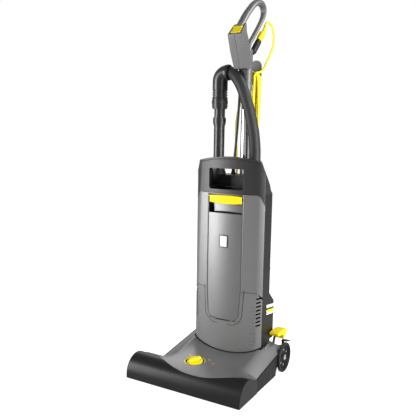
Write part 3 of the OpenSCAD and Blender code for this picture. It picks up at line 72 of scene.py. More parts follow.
# shader sockets with arithmetic
class Wire:
    def __init__(self, board, socket):
        self.board, self.socket = board, socket

    def calc(self, operation, one, two=0.0):
        return self.board.node("ShaderNodeMath", {"operation": operation}, {0: one, 1: two})

    def __add__(self, other):
        return self.calc("ADD", self, other)

    def __sub__(self, other):
        return self.calc("SUBTRACT", self, other)

    def __mul__(self, other):
        return self.calc("MULTIPLY", self, other)

    def __pow__(self, other):
        return self.calc("POWER", self, other)

    def most(self, other):
        return self.calc("MAXIMUM", self, other)


class Board:                                   # a node tree, and the one way to put a node in it
    def __init__(self, tree):
        self.tree = tree

    def node(self, kind, settings=None, sockets=None, out=0):
        made = self.tree.nodes.new(kind)
        for key, value in (settings or {}).items():
            setattr(made, key, value)
        self.fill(made, sockets or {})
        return Wire(self, made.outputs[out])

    def fill(self, made, sockets):
        for key, value in sockets.items():
            if isinstance(value, Wire):
                self.tree.links.new(value.socket, made.inputs[key])
            else:
                made.inputs[key].default_value = value

    def ray(self, kind):                       # 1 for rays of this kind, 0 for the others
        return self.node("ShaderNodeLightPath", out=f"Is {kind} Ray")


class Finish(Board):
    def __init__(self, name):
        self.material = bpy.data.materials.new(name)
        self.material.use_nodes = True
        super().__init__(self.material.node_tree)
        self.shader = self.tree.nodes["Principled BSDF"]
        self.place = self.node("ShaderNodeTexCoord", out="Object")

    def noise(self, scale, detail=2, rough=0.5, stretch=None):
        spot = self.place
        if stretch:
            spot = self.node("ShaderNodeMapping", None, {"Vector": self.place, "Scale": stretch})
        return self.node("ShaderNodeTexNoise", None,
                         {"Vector": spot, "Scale": scale, "Detail": detail, "Roughness": rough})

    def blend(self, share, low, high):         # colour mix
        return self.node("ShaderNodeMix", {"data_type": "RGBA"}, {0: share, 6: low, 7: high}, 2)

    def span(self, wire, low, high):           # 0-1 to low-high
        return wire * (high - low) + low

    def step(self, wire, low, high):           # smooth mask between two values
        return self.node("ShaderNodeMapRange", {"interpolation_type": "SMOOTHSTEP"},
                         {0: wire, 1: low, 2: high, 3: 0.0, 4: 1.0})

    def parts(self):                           # x, y and z of the place, in metres
        return [self.node("ShaderNodeSeparateXYZ", None, {0: self.place}, i) for i in range(3)]

    def bump(self, height, strength, distance, under=None):
        links = {"Height": height, "Strength": strength, "Distance": distance}
        if under:
            links["Normal"] = under
        return self.node("ShaderNodeBump", None, links)

    def feed(self, **inputs):
        self.fill(self.shader, {key.replace("_", " "): value for key, value in inputs.items()})
        return self.material


def tone(colour, factor):
    return tuple(min(1, c * factor) for c in colour[:3]) + (1,)


def plastic(name, colour, rough=0.42, grain=0.16, grainSize=1500, scuffs=0.5, spread=0.06, shine=0.5, flake=0.0,
            hollowShade=None):
    f = Finish(name)
    cloud = f.noise(7, 3)
    fine = f.noise(grainSize, 2, 0.6)
    rub = f.noise(38, 8, 0.68, (1, 1, 2.6))
    worn = f.step(rub, 0.6, 0.76) * scuffs
    speck = f.blend(fine, tone(colour, 1 - spread), tone(colour, 1 + spread))
    shade = f.blend(f.span(cloud, 0, 0.5), speck, tone(colour, 1 - spread))
    shade = f.blend(worn * 0.22, shade, tone(colour, 1.5))
    # painted shade: where the mask is 1 the colour is darkened towards black
    if hollowShade:
        shade = f.blend(hollowShade(f), shade, tone(colour, 0.12))
    return f.feed(Base_Color=shade, Roughness=f.span(cloud, rough - 0.06, rough + 0.06) + worn * 0.12,
                  Specular_IOR_Level=shine, Metallic=flake,
                  Normal=f.bump(fine, grain, 0.0003, f.bump(cloud, 0.05, 0.004)))


def metal(name, colour, rough, brushed=0.0, along=(1, 1, 0.02), streaks=0.0):
    f = Finish(name)
    lines = f.noise(700, 3, 0.6, along)
    cloud = f.noise(14, 4)
    smear = f.noise(55, 5, 0.7)
    shade = f.blend(f.span(lines, 0, 0.4 + streaks), colour, tone(colour, 0.72 - 0.4 * streaks))
    return f.feed(Base_Color=shade, Metallic=1.0,
                  Roughness=f.span(cloud, rough, rough + 0.08) + f.step(smear, 0.6, 0.8) * 0.08,
                  Normal=f.bump(lines, 0.05 + brushed, 0.0002))


def rubber(name, colour, rough=0.62):
    f = Finish(name)
    cloud, fine = f.noise(16, 4), f.noise(900, 3, 0.6)
    dust = f.step(f.noise(60, 6, 0.65), 0.5, 0.8)
    shade = f.blend(dust * 0.35, f.blend(cloud, tone(colour, 0.85), tone(colour, 1.15)), tone(colour, 1.9))
    return f.feed(Base_Color=shade, Roughness=f.span(cloud, rough, rough + 0.12),
                  Normal=f.bump(fine, 0.25, 0.0004))


def jacket(name, colour, rough=0.4):           # cord's sheath: moulding marks along and fine dimples
    f = Finish(name)
    cloud, dimple = f.noise(30, 4), f.noise(1800, 2)
    grime = f.step(f.noise(110, 6, 0.7), 0.56, 0.8)
    shade = f.blend(grime * 0.1, f.blend(cloud, tone(colour, 0.94), tone(colour, 1.05)), tone(colour, 0.6))
    return f.feed(Base_Color=shade, Roughness=f.span(cloud, rough, rough + 0.12),
                  Normal=f.bump(dimple, 0.1, 0.0002))


def fleece(name, colour):
    f = Finish(name)
    fibres = f.noise(420, 8, 0.75)
    tufts = f.noise(90, 4, 0.6)
    shade = f.blend(f.span(fibres, 0, 1), tone(colour, 0.82), tone(colour, 1.08))
    return f.feed(Base_Color=shade, Roughness=f.span(tufts, 0.85, 1.0), Sheen_Weight=0.3,
                  Normal=f.bump(fibres, 0.5, 0.0008, f.bump(tufts, 0.3, 0.002)))


def clearLamp(name, colour):
    f = Finish(name)
    ribs, cloud = f.noise(900, 2), f.noise(200, 3)
    return f.feed(Base_Color=f.blend(cloud, tone(colour, 0.8), colour), Roughness=f.span(cloud, 0.1, 0.25),
                  Coat_Weight=0.6, Coat_Roughness=0.05, Normal=f.bump(ribs, 0.1, 0.0003))


# where the cap's painted shade falls: the hollow behind its front skin
capSkin = {"centreY": 0.264, "skin": 0.356, "hollow": 0.350, "edge": 0.0102, "middle": 0.0090}


def capHollowShade(f):                            # painted shade mask: 1 on the hollow side of the cap, 0 on its outer skin
    x, y, z = f.parts()
    across = x - bodyShift.x
    along = y - (bodyShift.y + capSkin["centreY"])
    reach = (across * across + along * along) ** 0.5
    return (f.step(reach, capSkin["skin"], capSkin["hollow"])
            * f.step(across * across, capSkin["edge"], capSkin["middle"]))


neutral = (0, 0, 1)
yellowPaint = (0.93, 0.72, 0.008, 1)
finishes = {
    "shellGrey": plastic("shellGrey", grey(117), 0.42, 0.12, flake=0.6),
    "doorGrey": plastic("doorGrey", grey(114), 0.38, 0.12, flake=0.75),
    "lowerGrey": plastic("lowerGrey", grey(112), 0.46, 0.14, flake=0.3),
    "headGrey": plastic("headGrey", grey(114), 0.36, 0.14, flake=0.5),
    "handleGrey": plastic("handleGrey", grey(98), 0.4, 0.14, flake=0.3),
    "hoodBlack": plastic("hoodBlack", grey(20), 0.34, 0.16, shine=0.22),
    "housingBlack": plastic("housingBlack", grey(26), 0.5, 0.2, shine=0.25),
    # the cap's finish carries painted shade on its hollow side
    "capBlack": plastic("capBlack", grey(27), 0.42, 0.2, shine=0.5, hollowShade=capHollowShade),
    "chassisBlack": plastic("chassisBlack", grey(18, neutral), 0.55, 0.25, shine=0.25),
    "tubeBlack": plastic("tubeBlack", grey(26, neutral), 0.32, 0.06, scuffs=0.8),
    "hoseBlack": plastic("hoseBlack", grey(42, neutral), 0.5, 0.08, scuffs=0.4, shine=0.3),
    "ductGrey": plastic("ductGrey", grey(30, neutral), 0.55, 0.2, shine=0.3),
    "hookBlack": plastic("hookBlack", grey(30, neutral), 0.45, 0.2),
    # the wheels' and seam's own black, also used as painted shade on the sheets in the recess, gaps and knob well
    "linerBlack": plastic("linerBlack", grey(16, neutral), 0.6, 0.2, shine=0.15),
    "yellow": plastic("yellow", yellowPaint, 0.42, 0.08, scuffs=0.2, spread=0.03, shine=0.15),
    "cordYellow": jacket("cordYellow", (0.9, 0.74, 0.01, 1)),
    "leadBlack": jacket("leadBlack", grey(12, neutral), 0.35),
    "tyreBlack": rubber("tyreBlack", grey(14, neutral)),
    "softBlack": rubber("softBlack", grey(20, neutral), 0.5),
    "chrome": metal("chrome", (0.86, 0.87, 0.89, 1), 0.08, 0.0, (1, 1, 0.01), 0.25),
    "steel": metal("steel", (0.62, 0.63, 0.65, 1), 0.25, 0.1),
    "motorSteel": metal("motorSteel", (0.5, 0.5, 0.52, 1), 0.35, 0.15),
    "darkSteel": metal("darkSteel", (0.16, 0.16, 0.17, 1), 0.35, 0.05),
    "filterWhite": fleece("filterWhite", (0.78, 0.78, 0.74, 1)),
    "bagCloth": fleece("bagCloth", (0.72, 0.69, 0.6, 1)),
    "filterGrey": fleece("filterGrey", (0.12, 0.14, 0.17, 1)),
    "cardWhite": plastic("cardWhite", (0.8, 0.79, 0.74, 1), 0.7, 0.3, 700),
    "lampOrange": clearLamp("lampOrange", (0.42, 0.1, 0.02, 1)),
    "printWhite": plastic("printWhite", (0.82, 0.82, 0.8, 1), 0.35, 0.03, scuffs=0.2),
    "printDark": plastic("printDark", grey(30, neutral), 0.35, 0.03, scuffs=0.2),
}
print("finishes ready:", len(finishes))


# shaping helpers
def tidyShell(bm):
    bmesh.ops.remove_doubles(bm, verts=bm.verts, dist=2e-6)
    bmesh.ops.recalc_face_normals(bm, faces=bm.faces)


def setPiece(name, bm, body, finish, stands=(), sharp=34, weighted=True):
    mesh = bpy.data.meshes.new(name)
    bm.to_mesh(mesh)
    bm.free()
    piece = bpy.data.objects.new(name, mesh)
    bpy.context.collection.objects.link(piece)
    for one in finish if isinstance(finish, tuple) else (finish,):
        mesh.materials.append(finishes[one])
    mesh.shade_smooth()
    mesh.set_sharp_from_angle(angle=radians(sharp))
    if weighted:
        even = piece.modifiers.new("evenNormals", "WEIGHTED_NORMAL")
        even.keep_sharp, even.weight = True, 60
    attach(piece, body)
    if stands:
        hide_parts(*stands)
    return piece


def bodyOf(node):
    return next(body for body, held in frame["record"]["behaviour"]["bodies"].items() if node in held)


def roundEdges(bm, width, sharp=30):
    chosen = [e for e in bm.edges if len(e.link_faces) == 2 and e.calc_face_angle(0) > radians(sharp)
              and e.calc_length() > 1e-5]
    bmesh.ops.bevel(bm, geom=chosen, offset=width, offset_type="OFFSET", segments=2, profile=0.5,
                    affect="EDGES", material=-1, clamp_overlap=False, miter_outer="SHARP")


def dressNode(node, name, finish, edge, sharp=34, crown=None):         # rounded copy of a moulded part
    bm = bmesh.new()
    bm.from_mesh(frame["nodes"][node].data)
    bmesh.ops.remove_doubles(bm, verts=bm.verts, dist=2e-6)
    bmesh.ops.dissolve_limit(bm, angle_limit=radians(0.6), verts=bm.verts, edges=bm.edges)
    if crown:
        crown(bm)
    roundEdges(bm, edge)
    return setPiece(name, bm, bodyOf(node), finish, (node,), sharp)


def paintNode(node, finish):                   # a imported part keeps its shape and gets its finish
    packed = frame["nodes"][node]
    if not len(packed.data.materials):
        packed.data.materials.append(finishes[finish])
    for one in packed.material_slots:
        one.material = finishes[finish]


def facing(faces, way):                        # turns the faces of a thin sheet to look one way
    for face in faces:
        face.normal_update()
        if face.normal.dot(way) < 0:
            face.normal_flip()


def band(bm, low, high):                       # faces between two rows of corners
    return [bm.faces.new((low[i], low[i + 1], high[i + 1], high[i])) for i in range(len(low) - 1)]


def lathe(profile, foot, axis=(0, 0, 1), steps=48, bm=None):           # (radius, height) pairs in mm
    bm = bm or bmesh.new()
    axis = Vector(axis).normalized()
    side = axis.orthogonal().normalized()
    spots = [bm.verts.new(foot + side * r * 0.001 + axis * h * 0.001) for r, h in profile]
    edges = [bm.edges.new(pair) for pair in zip(spots, spots[1:])]
    bmesh.ops.spin(bm, geom=spots + edges, cent=foot, axis=axis, dvec=(0, 0, 0), angle=2 * pi, steps=steps,
                   use_merge=True, use_duplicate=False)
    tidyShell(bm)
    return bm


def runFrames(path):                           # a place and a turn for each point of a run
    ways = [(path[min(i + 1, len(path) - 1)] - path[max(i - 1, 0)]).normalized() for i in range(len(path))]
    side = ways[0].orthogonal().normalized()
    places = []
    for point, way in zip(path, ways):
        side = (side - way * side.dot(way)).normalized()
        places.append(Matrix.Translation(point) @ Matrix((side, way.cross(side), way)).transposed().to_4x4())
    return places


def sweep(path, radii, sides=24, bm=None):     # round tube along a run, one radius in metres or one for each point
    bm = bm or bmesh.new()
    if not isinstance(radii, list):
        radii = [radii] * len(path)
    stops = [place @ Matrix.Diagonal((r, r, 1, 1)) for place, r in zip(runFrames(path), radii)]
    ring = bmesh.ops.create_circle(bm, cap_ends=True, radius=1, segments=sides)["verts"]
    edges = {e for v in ring for e in v.link_edges}
    bmesh.ops.transform(bm, matrix=stops[0], verts=ring)
    for before, after in zip(stops, stops[1:]):
        grown = bmesh.ops.extrude_edge_only(bm, edges=list(edges))["geom"]
        ring = [g for g in grown if isinstance(g, bmesh.types.BMVert)]
        fresh = set(ring)
        edges = {e for v in ring for e in v.link_edges if e.verts[0] in fresh and e.verts[1] in fresh}
        bmesh.ops.transform(bm, matrix=after @ before.inverted(), verts=ring)
    bmesh.ops.contextual_create(bm, geom=list(edges))
    bmesh.ops.recalc_face_normals(bm, faces=bm.faces)
    return bm


def slab(bm, low, high):                       # block between two corners, mm on the body
    low, high = at(*low), at(*high)
    made = bmesh.ops.create_cube(bm, size=1)["verts"]
    place = Matrix.Translation((low + high) / 2) @ Matrix.Diagonal((*(high - low), 1))
    bmesh.ops.transform(bm, matrix=place, verts=made)


def prism(outline, low, high):                 # plan outline in mm, pulled up
    bm = bmesh.new()
    face = bm.faces.new([bm.verts.new(at(x, y, low)) for x, y in outline])
    grown = bmesh.ops.extrude_face_region(bm, geom=[face])["geom"]
    bmesh.ops.translate(bm, vec=(0, 0, (high - low) * 0.001),
                        verts=[g for g in grown if isinstance(g, bmesh.types.BMVert)])
    bmesh.ops.recalc_face_normals(bm, faces=bm.faces)
    return bm


def carve(bm, tools):                          # cuts the tools' shapes out
    def hold(one, label):
        mesh = bpy.data.meshes.new(label)
        one.to_mesh(mesh)
        one.free()
        thing = bpy.data.objects.new(label, mesh)
        bpy.context.collection.objects.link(thing)
        return thing
    work = hold(bm, "work")
    held = [hold(tool, "cutter") for tool in tools]
    for tool in held:
        cut = work.modifiers.new("cut", "BOOLEAN")
        cut.operation, cut.solver, cut.object = "DIFFERENCE", "EXACT", tool
    done = bpy.data.meshes.new_from_object(work.evaluated_get(bpy.context.evaluated_depsgraph_get()))
    result = bmesh.new()
    result.from_mesh(done)
    for thing in held + [work]:
        bpy.data.meshes.remove(thing.data)     # takes its object with it
    bpy.data.meshes.remove(done)
    bmesh.ops.remove_doubles(result, verts=result.verts, dist=2e-6)
    return result


def curveAt(points, i, u):                     # soft curve between points i and i + 1
    a, b, c, d = points[max(0, i - 1)], points[i], points[i + 1], points[min(len(points) - 1, i + 2)]
    return 0.5 * (2 * b + (c - a) * u + (2 * a - 5 * b + 4 * c - d) * u * u + (3 * b - a - 3 * c + d) * u ** 3)


def smoothRun(points, steps):                  # soft curve through points
    return [curveAt(points, i, k / steps) for i in range(len(points) - 1) for k in range(steps)] + [points[-1]]


def runLength(path):
    return sum((b - a).length for a, b in zip(path, path[1:]))


def layCord(name, path, thick, finish):
    curve = bpy.data.curves.new(name, "CURVE")
    curve.dimensions, curve.bevel_depth, curve.bevel_resolution = "3D", thick / 2, 3
    curve.use_fill_caps = True
    line = curve.splines.new("POLY")
    line.points.add(len(path) - 1)
    for spot, point in zip(line.points, path):
        spot.co = (*point, 1)
    line.use_smooth = True
    curve.materials.append(finishes[finish])
    piece = bpy.data.objects.new(name, curve)
    bpy.context.collection.objects.link(piece)
    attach(piece, "upright")
    return piece


# mains cord: free loop from the connector, seven turns on the two hooks, then the hanging end with its plug
mains = {"thick": 7.5, "armR": 9, "lift": 4.15, "upper": 931, "lower": 400, "turns": 7, "inner": 4,
         "front": 52.6, "pitch": 8.1, "layer": 8.3, "waist": 6, "loose": (0, 20, 25, 29, 0),
         "free": ((13, 113, 1087), (13, 118.5, 1092.5), (13, 123, 1099), (13, 129, 1112), (13, 142, 1121.5),
                  (14, 162, 1120), (15, 180, 1109), (16, 190, 1092), (17, 191.5, 1079), (18, 187, 1059),
                  (20, 172, 1038), (22, 149, 1014), (25, 122, 992), (27, 104, 975), (26, 90, 962),
                  (25, 76, 955), (23, 64, 951), (19, 54, 949), (14.5, 52.6, 945), (13.15, 52.6, 939),
                  (13.15, 52.6, 931)),
         "tail": ((24, 60.7, 900), (27, 60.7, 820), (29, 62, 650), (30.5, 66, 500), (31, 70, 408), (31, 70, 400))}


def turnSpot(s):                               # point of the winding, 24 stations to a turn
    k, t = s % 24, s / 24
    v = t - mains["inner"]
    w = floor(v)
    back = t if v < 0 else mains["inner"] - w - min(1, (v - w) / 0.6)
    y = mains["front"] + mains["pitch"] * back
    r = mains["armR"] + mains["lift"] + mains["layer"] * min(1, max(0, 2 * v + 1)) ** 2.5
    span = mains["lower"] - mains["upper"]
    if k < 4:
        return at(r - mains["waist"] * sin(pi * k / 4), y, mains["upper"] + span * k / 4)
    if k <= 12:
        a = pi * (k - 4) / 8
        return at(r * cos(a), y, mains["lower"] - r * sin(a))
    if k < 16:
        j = k - 12
        sag = -mains["waist"] * sin(pi * j / 4)
        if s > 24 * (mains["turns"] - 1):
            sag = curveAt(mains["loose"], int(j), j - int(j))
        return at(-r - sag, y, mains["lower"] - span * j / 4)
    a = pi * (k - 16) / 8
    return at(-r * cos(a), y, mains["upper"] + r * sin(a))


stations = []
for s in range(24 * mains["turns"]):
    k = s % 24
    parts = 6 if k < 4 or 12 <= k < 16 else 2
    stations += [turnSpot(s + i / parts) for i in range(parts)]
tail = smoothRun([turnSpot(24 * mains["turns"])] + [at(*p) for p in mains["tail"]], 6)
mainsPath = smoothRun([at(*p) for p in mains["free"]], 6)[:-1] + stations + tail
mainsCord = layCord("mainsCord", mainsPath, mains["thick"] / 1000, "cordYellow")
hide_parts("power_cord", "cord_winding")
print("mains cord laid, metres:", round(runLength(mainsPath), 3))

# boot where the cord leaves the connector
boot = {"long": 26, "thick": 6.4, "thin": 4.5, "ribs": 5}
bootPath = [p for i, p in enumerate(mainsPath) if runLength(mainsPath[:i + 1]) < boot["long"] / 1000]
fine = smoothRun(bootPath, 3)
bootSizes = []
for i in range(len(fine)):
    u = i / (len(fine) - 1)
    r = boot["thick"] + (boot["thin"] - boot["thick"]) * u + 0.35 * sin(2 * pi * boot["ribs"] * u)
    bootSizes.append(r / 1000)
cordBoot = setPiece("cordBoot", sweep(fine, bootSizes, 24), "upright", "cordYellow")

# plug on the hanging end
plug = {"foot": (31, 70, 400), "pinGap": 9.5, "face": -60.5}
profile = [(0, 0), (4.6, 0), (5, -1)]
for i in range(5):
    profile += [(5.2 + i * 0.15, -2.5 - 4.2 * i), (6.4 + i * 0.2, -3.2 - 4.2 * i), (6.4 + i * 0.2, -4.8 - 4.2 * i),
                (5.3 + i * 0.15, -5.6 - 4.2 * i)]
profile += [(8.6, -27), (13.6, -33), (15.5, -38), (16, -44), (15.6, -51), (14.8, -57), (14, -58), (0, -58)]
bm = lathe(profile, at(*plug["foot"]), steps=40)
for side in (-1, 1):
    foot = at(plug["foot"][0] + side * plug["pinGap"], plug["foot"][1], plug["foot"][2])
    lathe([(0, -57), (3.4, -57), (3.4, -60), (2.4, -60.4), (2.4, -75), (2, -76.6), (0, -77.4)], foot, steps=24,
          bm=bm)
plugPiece = setPiece("plugBody", bm, "upright", ("cordYellow", "steel"), ("mains_plug",))
for face in plugPiece.data.polygons:
    if face.center.z < at(0, 0, plug["foot"][2] + plug["face"]).z:
        face.material_index = 1
round(runLength(mainsPath), 3)

# lead from the handle down to the body
lead = {"thick": 8, "points": ((-25, 27, 962.2), (-25, 27, 946), (-25, 27, 920), (-25, 27, 890), (-25, 26, 860),
                               (-28, 25, 790), (-33, 25, 720), (-38, 25, 665), (-40, 25, 640), (-40, 25, 624),
                               (-40, 25, 608))}
leadPath = smoothRun([at(*p) for p in lead["points"]], 5)
handleLead = layCord("handleLead", leadPath, lead["thick"] / 1000, "leadBlack")
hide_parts("handle_lead")
bm = lathe([(4.1, 0), (7.2, 0), (7.6, 1.5), (7.2, 6), (6, 9), (5, 22), (4.3, 30), (4.1, 30.4)],
           at(*lead["points"][-2]), steps=32)
bmesh.ops.holes_fill(bm, edges=bm.edges, sides=0)
leadBoot = setPiece("leadBoot", bm, "upright", "softBlack")
round(runLength(leadPath), 3)

# suction hose with shallow ribs
hose = {"r": 18.5, "dip": 0.45, "pitch": 4.6,
        "points": ((-48.9, 2, 947.4), (-39, 1.2, 945.6), (-18, -8.5, 929), (-1, -13.5, 907), (11, -15.5, 884),
                   (22, -13, 853), (29, -9, 826), (35, -5, 798), (40, -1, 767), (43.5, 2, 736), (45.5, 4, 705),
                   (46, 4, 682), (46, 4, 665))}
rough = smoothRun([at(*p) for p in hose["points"]], 24)
total = runLength(rough)
count = round(total * 1000 / hose["pitch"]) * 4
hosePath, walked, i = [rough[0]], 0.0, 0
for n in range(1, count):
    aim = total * n / count
    while walked + (rough[i + 1] - rough[i]).length < aim:
        walked += (rough[i + 1] - rough[i]).length
        i += 1
    hosePath.append(rough[i].lerp(rough[i + 1], (aim - walked) / (rough[i + 1] - rough[i]).length))
hosePath.append(rough[-1])
hoseSizes = [(hose["r"] - hose["dip"] * (0.5 - 0.5 * cos(2 * pi * n / 4))) / 1000 for n in range(len(hosePath))]
hosePiece = setPiece("hoseTube", sweep(hosePath, hoseSizes, 36), "upright", "hoseBlack",
                     ("suction_hose",), 60)
print("cords done")

# cover of the head: one skin that rises round the body
cover = {"half": 161.65, "mid": 112, "front": -284, "tail": 27, "thick": 3, "columns": 110, "rows": 90}
hood = {"front": 304, "r": 52, "top": 69, "back": -188, "backZ": 45, "fall": 40}
knob = {"x": -35, "y": -211, "r": 24, "tilt": 8, "well": 27}
shell = {"half": 118.5, "corner": 106, "r": 360, "reach": 96, "sideY": -69}
door = {"x": -5, "half": 59, "taper": 275, "cornerX": 26, "cornerZ": 196, "corner": 28}
signal = {"x": 24, "y": -203, "r": 5.3}
shoulder = {"x": 127.5, "y": -38, "r": 0.005, "stretch": 4.2, "slope": 0.16}


def coverZ(x, y):
    h = abs(x)
    u, v = min(1, h / cover["mid"]), max(0, (h - cover["mid"]) / (cover["half"] - cover["mid"]))
    mid = 67 - 10 * max(0, (knob["y"] - y) / 73) ** 1.4
    rise = 66 + 42 * max(0, (y + 200) / 225) ** 1.05
    crest, top = hood["r"] - hood["front"], hood["top"] - hood["r"]
    bend = crest + hood["r"] * sin(radians(hood["fall"]))
    if y < bend:
        edge = top + sqrt(max(0, hood["r"] ** 2 - (y - crest) ** 2))
    elif y < hood["back"] - 3:
        drop = top + hood["r"] * cos(radians(hood["fall"])) - hood["backZ"] - 1
        edge = hood["backZ"] + 1 + drop * (hood["back"] - 3 - y) / (hood["back"] - 3 - bend)
    else:
        edge = hood["backZ"] + 1 + 0.15 * (y - hood["back"] + 3)
    return (mid + (rise - mid) * u ** 2.2) * (1 - v ** 1.4) + edge * v ** 1.4


def coverFront(x):
    return cover["front"] + 47 * min(1, abs(x) / 150) ** 2.2


def bodyPlan(t, yb, steps=48):                 # outline of the body in plan, drawn in by t
    r, mid = shell["r"] - t, shell["r"] - shell["reach"]
    a = asin((shell["corner"] - 0.6 * t) / r)
    side = shell["half"] - t
    face = [(r * sin(-a + 2 * a * i / steps), mid - r * cos(-a + 2 * a * i / steps)) for i in range(steps + 1)]
    return [(-side, yb), (-side, shell["sideY"] + 0.5 * t)] + face + [(side, shell["sideY"] + 0.5 * t), (side, yb)]


def frontY(x, lift=0.0):                       # y of the body's front face, lifted outwards
    r = shell["r"] + lift
    return shell["r"] - shell["reach"] - sqrt(r * r - x * x)


bm = bmesh.new()
grid = bmesh.ops.create_grid(bm, x_segments=cover["columns"], y_segments=cover["rows"], size=1)["verts"]
for v in grid:
    x = cover["half"] * (sin(pi / 2 * v.co.x) * 0.35 + v.co.x * 0.65)
    y = coverFront(x) + (cover["tail"] - coverFront(x)) * (v.co.y + 1) / 2
    v.co = at(x, y, coverZ(x, y))
facing(bm.faces, Vector((0, 0, 1)))
bmesh.ops.solidify(bm, geom=list(bm.faces), thickness=cover["thick"] / 1000)
arch = [(112.5, -14), (130, -7), (142, -3), (149, 4), (152, 12), (155, 17), (158, 18), (161, 15), (163, 9),
        (163, 32), (112.5, 32)]
knobPlace = at(knob["x"], knob["y"], coverZ(knob["x"], knob["y"]))
knobUp = Vector((0, -sin(radians(knob["tilt"])), cos(radians(knob["tilt"]))))
signalPlace = at(signal["x"], signal["y"], coverZ(signal["x"], signal["y"]))
cutters = [prism(bodyPlan(-3, 32), -1, 200), prism(arch, -1, 200),
           prism([(-x, y) for x, y in reversed(arch)], -1, 200),
           lathe([(0, -10), (knob["well"], -10), (knob["well"], 10), (0, 10)], knobPlace, knobUp, 64),
           lathe([(0, -20), (signal["r"], -20), (signal["r"], 20), (0, 20)], signalPlace, steps=32)]
bm = carve(bm, cutters)
roundEdges(bm, 0.0007, 50)
lathe([(knob["well"], -1.5), (knob["well"] + 1.5, -1.5), (knob["well"] + 1.5, -8), (5.05, -8), (5.05, -5),
       (knob["well"], -5), (knob["well"], -1.5)], knobPlace, knobUp, 64, bm)
top = coverZ(shoulder["x"], shoulder["y"])
for v in bmesh.ops.create_uvsphere(bm, u_segments=28, v_segments=16, radius=shoulder["r"])["verts"]:
    v.co.y *= shoulder["stretch"]
    v.co += at(shoulder["x"], shoulder["y"], top + (v.co.y * 1000) * shoulder["slope"])
setPiece("headCover", bm, "base", "headGrey", ("base_cover",), 40)
print("head cover done")

# rings and marks round the height knob, pressed into the cover, and a black ring of painted shade in its well
marks = {"arcR": 31.2, "wide": 2.2, "arcs": ((-155, -13, 36), (16, 82, 18)), "dotR": 44, "dotTurn": 51,
         "lift": 0.35}


def onCover(bm, x, y):                         # corner of a printed patch that lies on the cover
    return bm.verts.new(at(x, y, coverZ(x, y) + marks["lift"]))


def aboutKnob(r, turn):                        # plan point round the knob, the turn counted from the back
    return knob["x"] + r * sin(radians(turn)), knob["y"] + r * cos(radians(turn))


bm = bmesh.new()
for first, last, steps in marks["arcs"]:
    turns = [first + (last - first) * i / steps for i in range(steps + 1)]
    band(bm, *[[onCover(bm, *aboutKnob(marks["arcR"] + side * marks["wide"] / 2, turn)) for turn in turns]
               for side in (-1, 1)])
for side in (-1, 1):
    x, y = aboutKnob(marks["dotR"], side * marks["dotTurn"])
    rim = [(x + 3.4 * cos(2 * pi * i / 20), y + 2.0 * sin(2 * pi * i / 20)) for i in range(20)]
    bm.faces.new([onCover(bm, *spot) for spot in rim])
facing(bm.faces, Vector((0, 0, 1)))
bmesh.ops.solidify(bm, geom=list(bm.faces), thickness=0.0006)
setPiece("knobMarks", bm, "base", "yellow", weighted=False)
# black ring: painted shade in the knob's well
setPiece("knobWellShade", lathe([(knob["r"] + 0.5, -4.7), (knob["well"] - 0.2, -4.7), (knob["well"] - 0.2, -0.9),
                            (knob["well"] - 0.7, -0.9), (knob["well"] - 0.7, -4.2), (knob["r"] + 0.5, -4.2),
                            (knob["r"] + 0.5, -4.7)], knobPlace, knobUp, 64),
         "base", "linerBlack", weighted=False)

# height knob: dished disc with a raised bar and a raised rim
bm = lathe([(0, -4.6), (knob["r"], -4.6), (knob["r"], 0.6), (knob["r"] - 0.6, 1.8), (knob["r"] - 2, 2.3),
            (knob["r"] - 3.2, 1.6), (knob["r"] - 4.5, 0.4), (10, 0.6), (0, 1.2)], knobPlace, knobUp, 96)
lathe([(0, -16), (5, -16), (5, -4.6), (0, -4.6)], knobPlace, knobUp, 32, bm)
lathe([(0, -18), (9, -18), (9, -14), (0, -14)], knobPlace + Vector((0.003, 0, 0)), knobUp, 40, bm)
bar = {"size": (0.014, 0.04, 0.0085), "edge": 0.0034, "rise": 0.0047, "turn": -28}
made = bmesh.ops.create_cube(bm, size=1)["verts"]
bmesh.ops.scale(bm, vec=bar["size"], verts=made)
bmesh.ops.bevel(bm, geom=list({e for v in made for e in v.link_edges}), offset=bar["edge"], segments=4,
                profile=0.5, affect="EDGES", material=-1)
place = (Matrix.Translation(knobPlace + knobUp * bar["rise"]) @ Matrix.Rotation(radians(knob["tilt"]), 4, "X")
         @ Matrix.Rotation(radians(bar["turn"]), 4, "Z"))
bmesh.ops.transform(bm, matrix=place, verts=[v for v in bm.verts if v.co.length < bar["size"][1]])
setPiece("knobDisc", bm, "height_knob", "yellow", ("height_knob",), 36)

# moulded parts with rounded edges
dressNode("brush_hood", "hoodShell", "hoodBlack", 0.0009, sharp=32)
dressNode("front_shell", "frontShell", "shellGrey", 0.0006)
dressNode("lower_cover", "lowerShell", "lowerGrey", 0.0006)


crown = {"rise": 0.0026, "skin": 2.5, "start": 0.2, "fade": 0.06}


def crownDoor(bm):                             # the door's face bulges a little more than the body round it
    for v in bm.verts:
        x = (v.co.x - bodyShift.x) * 1000
        share = max(0, 1 - ((x - door["x"]) / door["half"]) ** 2)
        if v.co.y < at(0, frontY(x, -crown["skin"]), 0).y:
            v.co.y -= crown["rise"] * share * min(1, max(0, (v.co.z - crown["start"]) / crown["fade"]))


dressNode("bag_door", "bagDoor", "doorGrey", 0.0008, crown=crownDoor)
for part in (("door_latch", "doorLatch", "yellow", 0.0014), ("rear_housing", "rearShell", "housingBlack", 0.0006),
             ("cap", "capShell", "capBlack", 0.0008), ("handle_left", "handleHalfL", "handleGrey", 0.0008, 42),
             ("handle_right", "handleHalfR", "handleGrey", 0.0008, 42),
             ("power_rocker", "rockerKey", "yellow", 0.0008), ("release_pedal", "pedalPlate", "yellow", 0.0012),
             ("pole_sleeve", "poleSleeve", "handleGrey", 0.0006),
             ("upper_cord_hook", "upperHook", "handleGrey", 0.0012),
             ("lower_cord_hook", "lowerHook", "hookBlack", 0.0012),
             ("base_chassis", "headChassis", "chassisBlack", 0.0004)):
    dressNode(*part)
print("moulded parts done")

